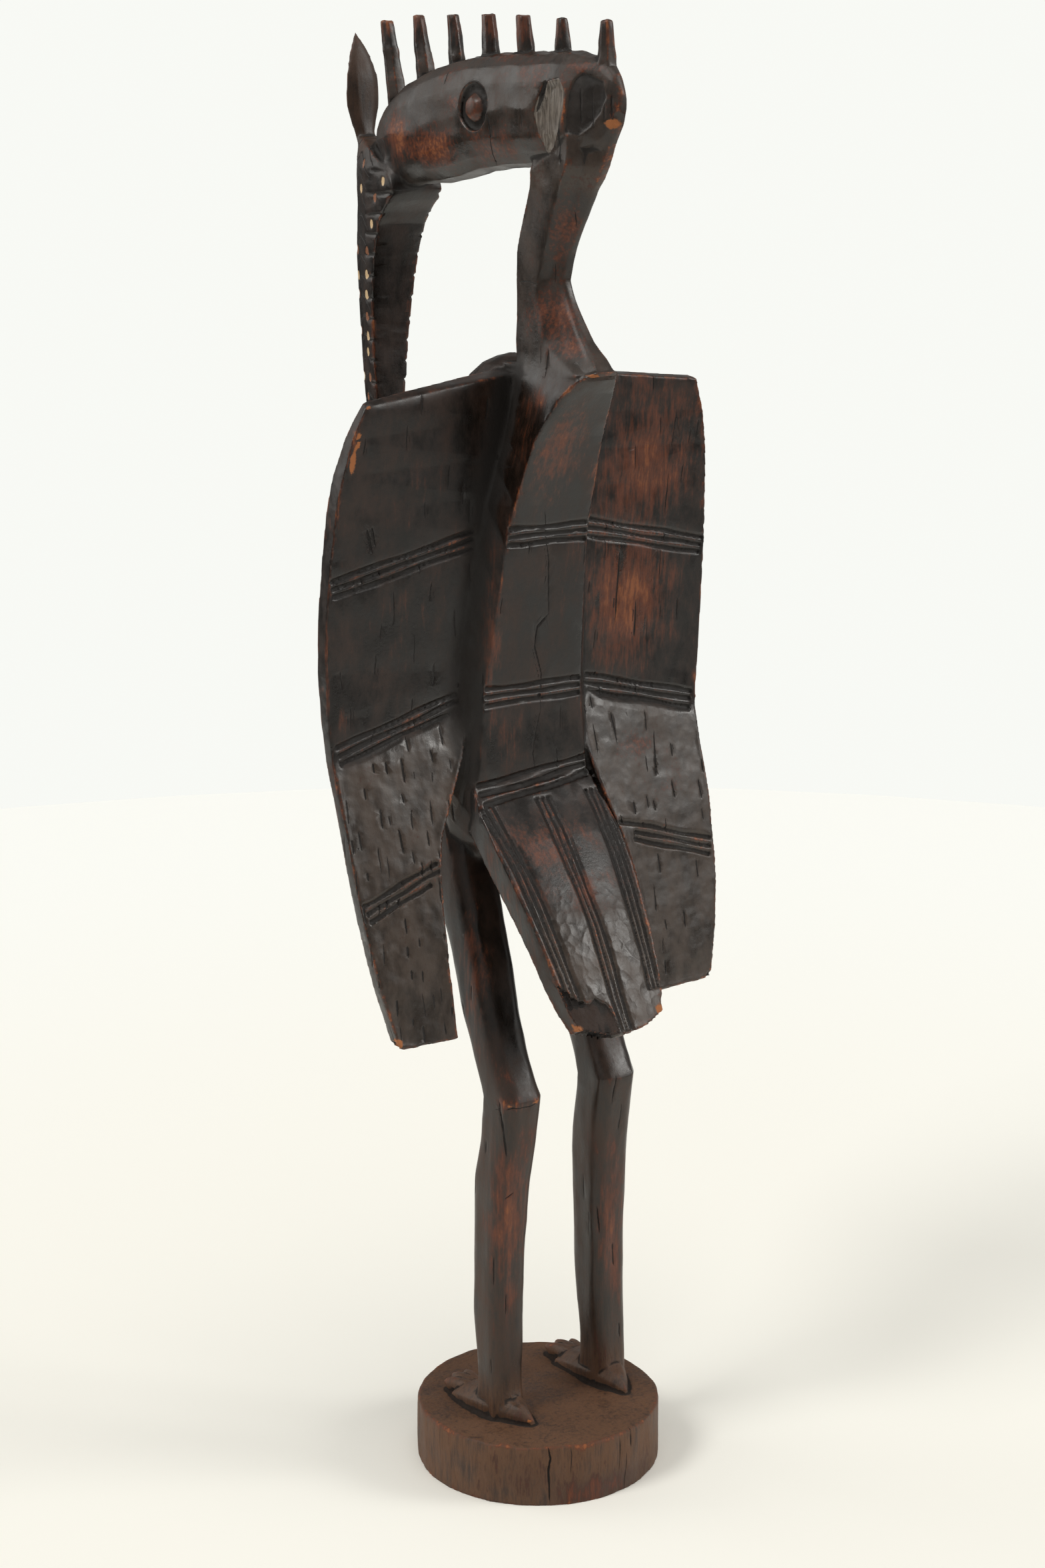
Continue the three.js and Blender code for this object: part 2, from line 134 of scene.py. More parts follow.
def ramp(values: np.ndarray, low: float, high: float) -> np.ndarray:
    """A smooth step of values from 0 at low to 1 at high, which may run downwards."""
    t = np.clip((values - low) / (high - low), 0, 1)
    return t * t * (3 - 2 * t)


def band(values: np.ndarray, low: float, high: float, soft: float) -> np.ndarray:
    """1 where values lie between low and high, with ends that fade over soft on either side."""
    return ramp(values, low - soft, low + soft) * ramp(values, high + soft, high - soft)


def from_line(places: np.ndarray, a: np.ndarray, b: np.ndarray) -> tuple[np.ndarray, np.ndarray]:
    """Where places lie along a straight line, and what parts them from it.

    Args:
        places: Rows of coordinates.
        a: The line's start.
        b: Its end.

    Returns:
        A share of the line's length, which may lie past its ends, and the way from the nearest point of it.
    """
    line = b - a
    along = ((places - a) @ line) / (line @ line)
    return along, (places - a) - np.clip(along, 0, 1)[:, None] * line


def lattice(cells: np.ndarray, seed: int) -> np.ndarray:
    """A fixed number from 0 to 1 for each whole cell.

    Args:
        cells: Whole numbers, three in the last axis.
        seed: Picks another set of numbers.

    Returns:
        One number for each cell.
    """
    c = cells.astype(np.int64).astype(np.uint32)
    mixed = np.full(c.shape[:-1], seed * 977 + 13, np.uint32)
    for axis, factor in enumerate(HASH_FACTORS):
        mixed = mixed + c[..., axis] * np.uint32(factor)
    mixed = (mixed ^ (mixed >> np.uint32(13))) * np.uint32(HASH_MIX)
    mixed = mixed ^ (mixed >> np.uint32(16))
    return (mixed & np.uint32(0xFFFFFF)) / float(0xFFFFFF)


def ripple(places: np.ndarray, size: Triple, seed: int) -> np.ndarray:
    """Smooth noise with waves of the given size.

    Args:
        places: Rows of coordinates in metres.
        size: Length of a wave along each axis, in millimetres.
        seed: Picks another pattern.

    Returns:
        Numbers from -1 to 1.
    """
    q = places @ NOISE_TURN / (np.array(size) * MM)
    cell = np.floor(q)
    t = q - cell
    t = t * t * (3 - 2 * t)
    total = np.zeros(len(places))
    for corner in np.ndindex(2, 2, 2):
        weight = np.prod(np.where(np.array(corner) == 1, t, 1 - t), axis=1)
        total += weight * lattice(cell + np.array(corner), seed)
    return total * 2 - 1


def bowls(places: np.ndarray, size: Triple, seed: int) -> np.ndarray:
    """Shallow round bowls that meet in ridges, as an adze leaves them.

    Args:
        places: Rows of coordinates in metres.
        size: Spacing of the bowls along each axis, in millimetres.
        seed: Picks another pattern.

    Returns:
        1 in the middle of each bowl, falling to 0 at the ridges.
    """
    q = places / (np.array(size) * MM)
    cell = np.floor(q)
    nearest = np.full(len(places), 9.0)
    for offset in np.ndindex(3, 3, 3):
        around = cell + np.array(offset) - 1
        centre = around + np.stack([lattice(around, seed + k) for k in range(3)], axis=1)
        nearest = np.minimum(nearest, ((q - centre) ** 2).sum(axis=1))
    return np.clip(1 - nearest / 0.75, 0, 1)


def evened(rows: np.ndarray, ends: np.ndarray, steps: int) -> np.ndarray:
    """Rows of numbers evened out over a net.

    Args:
        rows: One row for each point of the net.
        ends: The two points of each of its threads.
        steps: How many times each row moves halfway to its neighbours' mean.

    Returns:
        The evened rows.
    """
    count = len(rows)
    a, b = np.concatenate([ends, ends[:, ::-1]]).T
    near = np.maximum(np.bincount(a, minlength=count), 1)
    columns = rows.T.copy()
    for _ in range(steps):
        for column in columns:
            column += 0.5 * (np.bincount(a, column[b], count) / near - column)
    return columns.T


class Skin:
    """The dense surface as arrays: places, normals and the same places in shares."""

    SOLE = 1.2

    def __init__(self, mesh: bpy.types.Mesh) -> None:
        """Reads a mesh, whose vertices the surface then moves."""
        self.mesh = mesh
        self.refresh()

    @property
    def ends(self) -> np.ndarray:
        """The two vertices of each edge."""
        ends = np.empty(len(self.mesh.edges) * 2, np.int64)
        self.mesh.edges.foreach_get("vertices", ends)
        return ends.reshape(-1, 2)

    def relaxed(self, values: np.ndarray, steps: int) -> np.ndarray:
        """Rows of values, one for each vertex, evened out over so many steps."""
        return evened(values, self.ends, steps)

    def melt(self, weight: np.ndarray, steps: int) -> None:
        """Evens the surface out where a weight says so.

        Args:
            weight: From 0, left alone, to 1, fully evened.
            steps: How widely.
        """
        inside = np.nonzero(weight > 0.01)[0]
        slot = np.full(len(weight), -1)
        slot[inside] = np.arange(len(inside))
        ends = slot[self.ends]
        soft = evened(self.places[inside], ends[(ends >= 0).all(axis=1)], steps)
        places = self.places.copy()
        places[inside] += weight[inside][:, None] * (soft - places[inside])
        self.move(places)

    def relief(self, steps: int) -> np.ndarray:
        """Millimetres that each vertex stands out of its surroundings, less than 0 in grooves."""
        return ((self.places - self.relaxed(self.places, steps)) * self.normals).sum(axis=1) / MM

    def move(self, places: np.ndarray) -> None:
        """Puts each vertex at its row's place."""
        self.mesh.vertices.foreach_set("co", places.ravel())
        self.mesh.update()
        self.refresh()

    def refresh(self) -> None:
        """Reads the places and normals again after a change."""
        count = len(self.mesh.vertices)
        places, normals = np.empty(count * 3), np.empty(count * 3)
        self.mesh.vertices.foreach_get("co", places)
        self.mesh.vertex_normals.foreach_get("vector", normals)
        self.places, self.normals = places.reshape(-1, 3), normals.reshape(-1, 3)
        self.x, self.y, self.z = FIGURE.shares(self.places)
        self.out = np.abs(self.x)

    def sink(self, depth: np.ndarray) -> None:
        """Moves each vertex inwards by so many millimetres; less than 0 is outwards."""
        self.move(self.places - self.normals * depth[:, None] * MM)

    def radii_from(self, centre: Triple, reach: Triple) -> np.ndarray:
        """The square of each vertex's distance from a place in shares, in radii that differ by axis."""
        axes = zip((self.x, self.y, self.z), centre, reach)
        return sum(((shares - middle) / radius) ** 2 for shares, middle, radius in axes)

    def keep_in(self, low: Vector, high: Vector) -> None:
        """Holds the surface inside a box's two corners, flat on its underside."""
        foot = self.places[:, 2] < low.z + self.SOLE * MM
        self.places[foot, 2] = low.z
        self.move(np.clip(self.places, np.array(low), np.array(high)))


class Regions:
    """How far each vertex belongs to a form of the bird, from 0 to 1 where nothing else is said.

    The pairs of rows are the heights at which a line on the bird is known, and where it lies there, in shares.
    """

    TAIL_Z = (314.5, 336, 365.5, 398, 431, 458.5, 478)
    TAIL_Y = (86, 74.5, 59.5, 38, 13, -13, -26)
    TAIL_UP = (0, 0.84, 0.54)
    TAIL_BREAK_X = (5, 8, 12, 19, 24, 33, 42, 52)
    TAIL_BREAK_Z = (305, 322, 327, 331.5, 329, 333, 342, 352)
    TAIL_BREAK_WAVES = ((1.6, 7, 71), (1.1, 3.5, 72))
    WING_Z = (300, 420, 460, 525, 650, 760)
    WING_INNER = (58, 58, 56, 47, 38, 14)
    WING_GROOVES = 520
    LEG_Z = (0, 268, 444)
    LEG_Y = (4, 4, -64)
    CLASP_Z = (631, 832, 881, 893, 903.5, 914.5)
    CLASP_Y = (-202, -198.5, -195, -185, -172, -170)
    SEAM = ((20, -19, 758), (29, -21, 710), (43, -22, 661), (48, -26, 600), (53, -30, 540), (56, -32, 480))
    SEAM_REACH = 40.0

    def __init__(self, skin: Skin) -> None:
        """Takes the surface, and works out which of it faces back."""
        self.skin = skin
        self.back = ramp(skin.normals[:, 1], 0.2, 0.5)

    @property
    def plinth(self) -> np.ndarray:
        """The plinth's side and top."""
        return ramp(self.skin.z, 1.5, 0.0)

    @property
    def feet(self) -> np.ndarray:
        """The feet above their soles, with their toes and heel spurs."""
        return ramp(self.skin.z, 24, 18) * ramp(self.skin.z, 2, 5)

    @property
    def legs(self) -> np.ndarray:
        """The legs between the plinth and the belly."""
        s = self.skin
        line = np.interp(s.z, self.LEG_Z, self.LEG_Y)
        return band(s.y - line, -34, 34, 4) * band(s.z, 18, 420, 8) * ramp(s.out, 66, 63)

    @property
    def knees(self) -> np.ndarray:
        """The ridge around each knee."""
        return band(self.skin.z, 238, 252, 5)

    @property
    def tail(self) -> np.ndarray:
        """The tail's upper face."""
        s = self.skin
        line = np.interp(s.z, self.TAIL_Z, self.TAIL_Y)
        up = s.normals @ np.array(self.TAIL_UP)
        face = band(s.y - line, -9, 9, 2) * ramp(up, 0.3, 0.6) * ramp(s.out, 58, 56)
        return face * band(s.z, 296, 477, 3)

    @property
    def tail_rim(self) -> np.ndarray:
        """How far each vertex lies inside the tail's broken corner, in millimetres held within 12."""
        s = self.skin
        edge = np.interp(s.x, self.TAIL_BREAK_X, self.TAIL_BREAK_Z)
        for height, length, seed in self.TAIL_BREAK_WAVES:
            edge = edge + height * ripple(s.places, (length, 30, 30), seed)
        inside = np.minimum(edge - s.z, s.x - 5) * FIGURE.share / MM
        return np.clip(np.where(self.tail > 0.3, inside, -12), -12, 12)

    @property
    def bands(self) -> np.ndarray:
        """The bundles of grooves, and other lines cut in the flat faces."""
        relief = self.skin.relief(12)
        return ramp(self.skin.relaxed(np.abs(relief)[:, None], 10)[:, 0], 0.14, 0.3)

    @property
    def plate(self) -> np.ndarray:
        """The back plate between the wings."""
        s = self.skin
        return self.back * ramp(s.y, -22, -20) * ramp(s.out, 52, 49) * band(s.z, 455, 770, 4) * (1 - self.tail)

    @property
    def wings(self) -> np.ndarray:
        """The wings' back faces."""
        s = self.skin
        inner = np.interp(s.z, self.WING_Z, self.WING_INNER)
        return self.back * ramp(s.out - inner, 0, 3) * band(s.z, 296, 762, 4)

    @property
    def lower_wings(self) -> np.ndarray:
        """The wings' back faces below the middle grooves, which the adze left dimpled."""
        line = self.WING_GROOVES - (self.skin.out - 56) * 0.25
        return self.wings * ramp(self.skin.z - line, 4, -6)

    @property
    def wing_edges(self) -> np.ndarray:
        """The wings' outer edges."""
        s = self.skin
        outward = ramp(np.abs(s.normals[:, 0]), 0.55, 0.8)
        return outward * ramp(s.out, 128, 134) * band(s.z, 292, 765, 3)

    @property
    def recess(self) -> np.ndarray:
        """How far each vertex lies from the deep corner between left wing and trunk, in millimetres held at 40;
        near it the finish paints shade.
        """
        s = self.skin
        far = np.full(len(s.places), self.SEAM_REACH)
        near = np.nonzero(band(s.x, 5, 75, 5) * band(s.y, -60, -8, 3) * band(s.z, 455, 775, 3) > 0.5)[0]
        route = [FIGURE.point(*point) for point in self.SEAM]
        for a, b in zip(route, route[1:]):
            away = from_line(s.places[near], a, b)[1]
            far[near] = np.minimum(far[near], np.linalg.norm(away, axis=1) / MM)
        return far

    @property
    def belly(self) -> np.ndarray:
        """The swollen chest and belly."""
        s = self.skin
        beak = ramp(s.z, 628, 640) * ramp(s.y, -180, -186)
        return band(s.z, 400, 773, 4) * ramp(s.y, -42, -48) * ramp(s.out, 64, 60) * (1 - beak)

    @property
    def neck(self) -> np.ndarray:
        """The neck between the wings and the head."""
        return band(self.skin.z, 762, 900, 6) * band(self.skin.y, -30, 90, 4)

    @property
    def neck_foot(self) -> np.ndarray:
        """The join of the neck's foot and the left shoulder."""
        s = self.skin
        return band(s.z, 736, 772, 8) * band(s.y, -18, 40, 8) * ramp(s.x, 4, 10)

    @property
    def neck_hollow(self) -> np.ndarray:
        """The hollows in the neck's side, one at its foot and one under the head."""
        s = self.skin
        foot = band(s.z, 760, 824, 14) * ramp(s.y, -12, -4)
        throat = 0.9 * band(s.z, 832, 886, 8) * ramp(s.y, -4, 4)
        return 0.9 * (foot + throat) * band(s.y, -12, 58, 6) * ramp(s.x, -8, 0)

    @property
    def head(self) -> np.ndarray:
        """The head without its crest."""
        return band(self.skin.y, -206, 80, 2) * ramp(self.skin.z, 880, 886) * ramp(self.skin.z, 980, 975)

    @property
    def pegs(self) -> np.ndarray:
        """The crest's pegs."""
        return ramp(self.skin.z, 965, 972) * ramp(self.skin.y, -206, -200)

    @property
    def leaf(self) -> np.ndarray:
        """The leaf that stands on the beak's root."""
        return ramp(self.skin.y, -196, -202) * ramp(self.skin.z, 900, 908)

    @property
    def beak(self) -> np.ndarray:
        """The beak with its clasping band."""
        s = self.skin
        return ramp(s.y, -148, -152) * band(s.z, 630, 914, 3) * ramp(s.out, 30, 28)

    @property
    def beak_root(self) -> np.ndarray:
        """The beak's inner side, where it runs into the head."""
        s = self.skin
        return band(s.y, -176, -124, 7) * ramp(s.z, 828, 892) ** 4 * ramp(s.z, 916, 904)

    @property
    def clasp(self) -> np.ndarray:
        """The ridged band on the beak's sides and front."""
        edge = np.interp(self.skin.z, self.CLASP_Z, self.CLASP_Y)
        return self.beak * ramp(self.skin.y - edge, 1.5, -1.5)


@dataclass(frozen=True)
class Split:
    """One split in the surface: a line of places, with its drawn half width and its depth in millimetres."""

    route: tuple[np.ndarray, ...]
    half_width: float
    depth: float


class SplitField:
    """How far each vertex lies across its nearest split, how wide that one is drawn and how deep it is cut."""

    REACH = 9.0
    NEAR = 2.2
    FADE = 0.8
    CUT_HALF_WIDTH = 1.2
    LEVEL = 4.0

    def __init__(self, skin: Skin, splits: list[Split]) -> None:
        """Measures every split.

        Args:
            skin: The surface.
            splits: The splits.
        """
        self.skin = skin
        count = len(skin.places)
        self.gap, self.across = np.full(count, self.REACH), np.full(count, self.REACH)
        self.width, self.depth = np.full(count, -1.0), np.zeros(count)
        order = np.argsort(skin.places[:, 2])
        heights = skin.places[order, 2]
        reach = self.REACH * MM
        for split in splits:
            for step, (a, b) in enumerate(zip(split.route, split.route[1:])):
                low, high = np.minimum(a, b) - reach, np.maximum(a, b) + reach
                first, last = np.searchsorted(heights, (low[2], high[2]))
                near = order[first:last]
                near = near[((skin.places[near] > low) & (skin.places[near] < high)).all(axis=1)]
                self.measure(split, step, near)

    def measure(self, split: Split, step: int, near: np.ndarray) -> None:
        """Measures one straight piece of a split.

        Args:
            split: The split.
            step: Which piece of its line.
            near: The vertices around it.
        """
        a, b, spans = split.route[step], split.route[step + 1], len(split.route) - 1
        places, normals = self.skin.places[near], self.skin.normals[near]
        t, apart = from_line(places, a, b)
        gap = np.linalg.norm(apart, axis=1) / MM
        aside = np.cross(normals, b - a)
        across = ((places - a) * aside).sum(axis=1) / (np.linalg.norm(aside, axis=1) + 1e-9) / MM
        before = t if step == 0 else np.maximum(t, 0)
        along = (step + (before if step == spans - 1 else np.minimum(before, 1))) / spans
        taper = 1 - (2 * along - 1) ** 4
        level = np.abs((apart * normals).sum(axis=1)) < self.LEVEL * MM
        nearer = level & (gap < self.gap[near])
        pick = near[nearer]
        faded = split.half_width * np.clip(taper, -1, 1) - self.FADE * np.maximum(gap - self.NEAR, 0)
        self.gap[pick], self.across[pick], self.width[pick] = gap[nearer], across[nearer], faded[nearer]
        wide = max(split.half_width, self.CUT_HALF_WIDTH)
        deep = split.depth * np.sqrt(np.clip(taper, 0, 1)) * np.clip(1 - gap / wide, 0, 1) ** 0.7 * level
        self.depth[near] = np.maximum(self.depth[near], deep)


@dataclass(frozen=True)
class Check:
    """A split or cut along a named line on the surface."""

    points: tuple[Triple, ...]
    half_width: float
    depth: float

    def split(self) -> Split:
        """This check as a split."""
        return Split(tuple(FIGURE.point(*point) for point in self.points), self.half_width, self.depth)


@dataclass(frozen=True)
class Scoop:
    """A rounded hollow or a broken-out place."""

    centre: Triple
    reach: Triple
    depth: float
    sharp: float = 1.0

    def cut(self, skin: Skin) -> np.ndarray:
        """How deep this scoop is at each vertex, in millimetres."""
        return self.depth * np.clip((1 - skin.radii_from(self.centre, self.reach)) * self.sharp, 0, 1)


@dataclass(frozen=True)
class GrainChecks:
    """Many short splits along the grain, strewn over a region, with their points at STEPS of their length."""

    STEPS = (-0.5, -0.16, 0.18, 0.5)
    LEAN = 0.08
    SWAY = 0.03

    count: int
    length: tuple[float, float]
    half_width: float
    depth: float
    seed: int

    def splits(self, skin: Skin, region: np.ndarray) -> list[Split]:
        """The splits.

        Args:
            skin: The surface.
            region: Where they may start.

        Returns:
            One split for each start.
        """
        rng = np.random.default_rng(self.seed)
        choice = np.nonzero(region > 0.6)[0]
        if not len(choice):
            return []
        half_millimetres = np.round(skin.places[choice] * 2000)
        order = choice[np.lexsort(half_millimetres.T)]
        made = []
        for start in order[(rng.random(self.count) * len(order)).astype(int)]:
            middle, normal = skin.places[start], skin.normals[start]
            length = rng.uniform(*self.length) * MM
            strength = rng.uniform(0.45, 1)
            grain = np.array([rng.uniform(-self.LEAN, self.LEAN), 0, 1.0])
            grain -= normal * (normal @ grain)
            grain /= np.linalg.norm(grain) + 1e-9
            aside = np.cross(normal, grain)
            sway = np.cumsum(rng.uniform(-self.SWAY, self.SWAY, len(self.STEPS))) * length
            route = tuple(middle + grain * length * step + aside * side for step, side in zip(self.STEPS, sway))
            made.append(Split(route, self.half_width * strength, self.depth * strength))
        return made


@dataclass(frozen=True)
class Facet:
    """A flat place cut inside an outline in shares of two axes; that of y and z lies on the bird's left side."""

    outline: tuple[tuple[float, float], ...]
    axes: tuple[int, int] = (1, 2)
    limit: float = 8.0
    margin: float = 6.0

    def inward(self, skin: Skin) -> np.ndarray:
        """How far each vertex lies inside the outline.

        Args:
            skin: The surface.

        Returns:
            Millimetres, less than 0 outside, held within the limit.
        """
        corners = np.array(self.outline)
        low, high = corners.min(axis=0) - self.margin, corners.max(axis=0) + self.margin
        shares = (skin.x, skin.y, skin.z)
        place = np.stack([shares[axis] for axis in self.axes], axis=1)
        # an outline seen from the side lies on the left, and one seen from above on a foot
        facing = skin.x > 1 if 2 in self.axes else (skin.z > 1.5) & (skin.z < 16)
        near = np.nonzero(facing & (place > low).all(axis=1) & (place < high).all(axis=1))[0]
        place = place[near]
        gap, inside = np.full(len(near), 99.0), np.zeros(len(near), bool)
        for a, b in zip(corners, np.roll(corners, -1, axis=0)):
            gap = np.minimum(gap, np.linalg.norm(from_line(place, a, b)[1], axis=1))
            spans = (a[1] > place[:, 1]) != (b[1] > place[:, 1])
            slope = (b[0] - a[0]) / (b[1] - a[1] + 1e-9)
            inside ^= spans & (place[:, 0] < a[0] + (place[:, 1] - a[1]) * slope)
        inward = np.full(len(skin.places), -self.limit)
        inward[near] = np.where(inside, gap, -gap) * FIGURE.share / MM
        return np.clip(inward, -self.limit, self.limit)


@dataclass(frozen=True)
class BandSpots:
    """The small oval gouges on the beak's band, some light and some brown."""

    light: tuple[Triple, ...] = (
        (22.7, -168.3, 884.4), (17.9, -203.2, 878), (20, -187.5, 853.4), (18, -197.4, 816.5), (13.4, -214, 815),
        (17.2, -199, 801.8), (15.4, -200.6, 771.5), (14.3, -202.5, 759.6), (9.5, -213.4, 741), (8, -203, 706),
        (7, -209, 684), (5.2, -202.5, 662),
    )
    brown: tuple[Triple, ...] = (
        (19.7, -197.5, 896.3), (21.1, -181.2, 872.2), (18.8, -195.9, 833.4), (14.6, -213.6, 833.4),
        (13.2, -214.8, 801.2), (12.2, -214.2, 774.3), (16.2, -200, 785.8), (13.3, -201.8, 740.9),
        (9.5, -208, 726), (10.5, -200.5, 716), (8.4, -201.5, 694),
    )
    reach: Triple = (2.6, 2.1, 3.4)
    depth: float = 0.9
    right_shift: float = 5.0

    def nearness(self, skin: Skin) -> tuple[np.ndarray, np.ndarray]:
        """How far each vertex lies from its nearest spot, in the spot's radii, and how light that spot is.

        Args:
            skin: The surface.

        Returns:
            Two numbers for each vertex.
        """
        far, tone = np.full(len(skin.places), 6.0), np.zeros(len(skin.places))
        near = np.nonzero((skin.y < -148) & (skin.out < 30) & (skin.z < 914) & (skin.z > 630))[0]
        place = np.stack([skin.x[near], skin.y[near], skin.z[near]], axis=1)
        for spots, lightness in ((self.light, 1.0), (self.brown, 0.0)):
            for side in Side:
                for k, (x, y, z) in enumerate(spots):
                    shift = 0 if side is Side.LEFT else self.right_shift * math.sin(k * 2.4)
                    centre = np.array([side.value * x, y, z + shift])
                    away = np.linalg.norm((place - centre) / np.array(self.reach), axis=1)
                    nearer = away < far[near]
                    far[near[nearer]], tone[near[nearer]] = away[nearer], lightness
        return far, tone

    def cut(self, skin: Skin) -> np.ndarray:
        """How deep the spots are at each vertex, in millimetres."""
        return self.depth * np.clip(1.15 - self.nearness(skin)[0], 0, 0.6) / 0.6


@dataclass(frozen=True)
class Eye:
    """One round eye: a low rim, a dark groove and a boss with knife facets."""

    centre: tuple[float, float] = (-55.0, 937.5)
    rim: float = 25.0
    groove: float = 20.0
    groove_half: float = 3.6
    depth: float = 3.2
    rim_height: float = 0.6
    facet_depth: float = 1.8
    boss: float = 16.0
    away: float = 40.0
    facet_angle: float = 1.05
    facet_start: float = 7.5

    def radius(self, skin: Skin) -> tuple[np.ndarray, np.ndarray, np.ndarray]:
        """How far each vertex lies from the eye's middle.

        Args:
            skin: The surface.

        Returns:
            The distance along y, along z and in all, in millimetres; the last is held away off the head's sides.
        """
        y, z = self.centre
        share = FIGURE.share / MM
        across, up = (skin.y - y) * share, (skin.z - z) * share
        far = np.hypot(across, up)
        return across, up, np.where(skin.out > 14, np.minimum(far, self.away), self.away)

    def cut(self, skin: Skin) -> np.ndarray:
        """How deep the eye's groove and knife facets are at each vertex, and how high its rim.

        Args:
            skin: The surface.

        Returns:
            Depths in millimetres.
        """
        across, up, far = self.radius(skin)
        groove = np.clip(1 - ((far - self.groove) / self.groove_half) ** 2, 0, 1) ** 0.6
        rim = np.clip(1 - np.abs(far - self.rim) / 1.6, 0, 1)
        turn = np.round(np.arctan2(up, across) / self.facet_angle) * self.facet_angle
        outward = across * np.cos(turn) + up * np.sin(turn)
        facet = np.clip((outward - self.facet_start) / 7, 0, 1) * (far < self.boss + 1)
        return self.depth * groove - self.rim_height * rim + self.facet_depth * facet


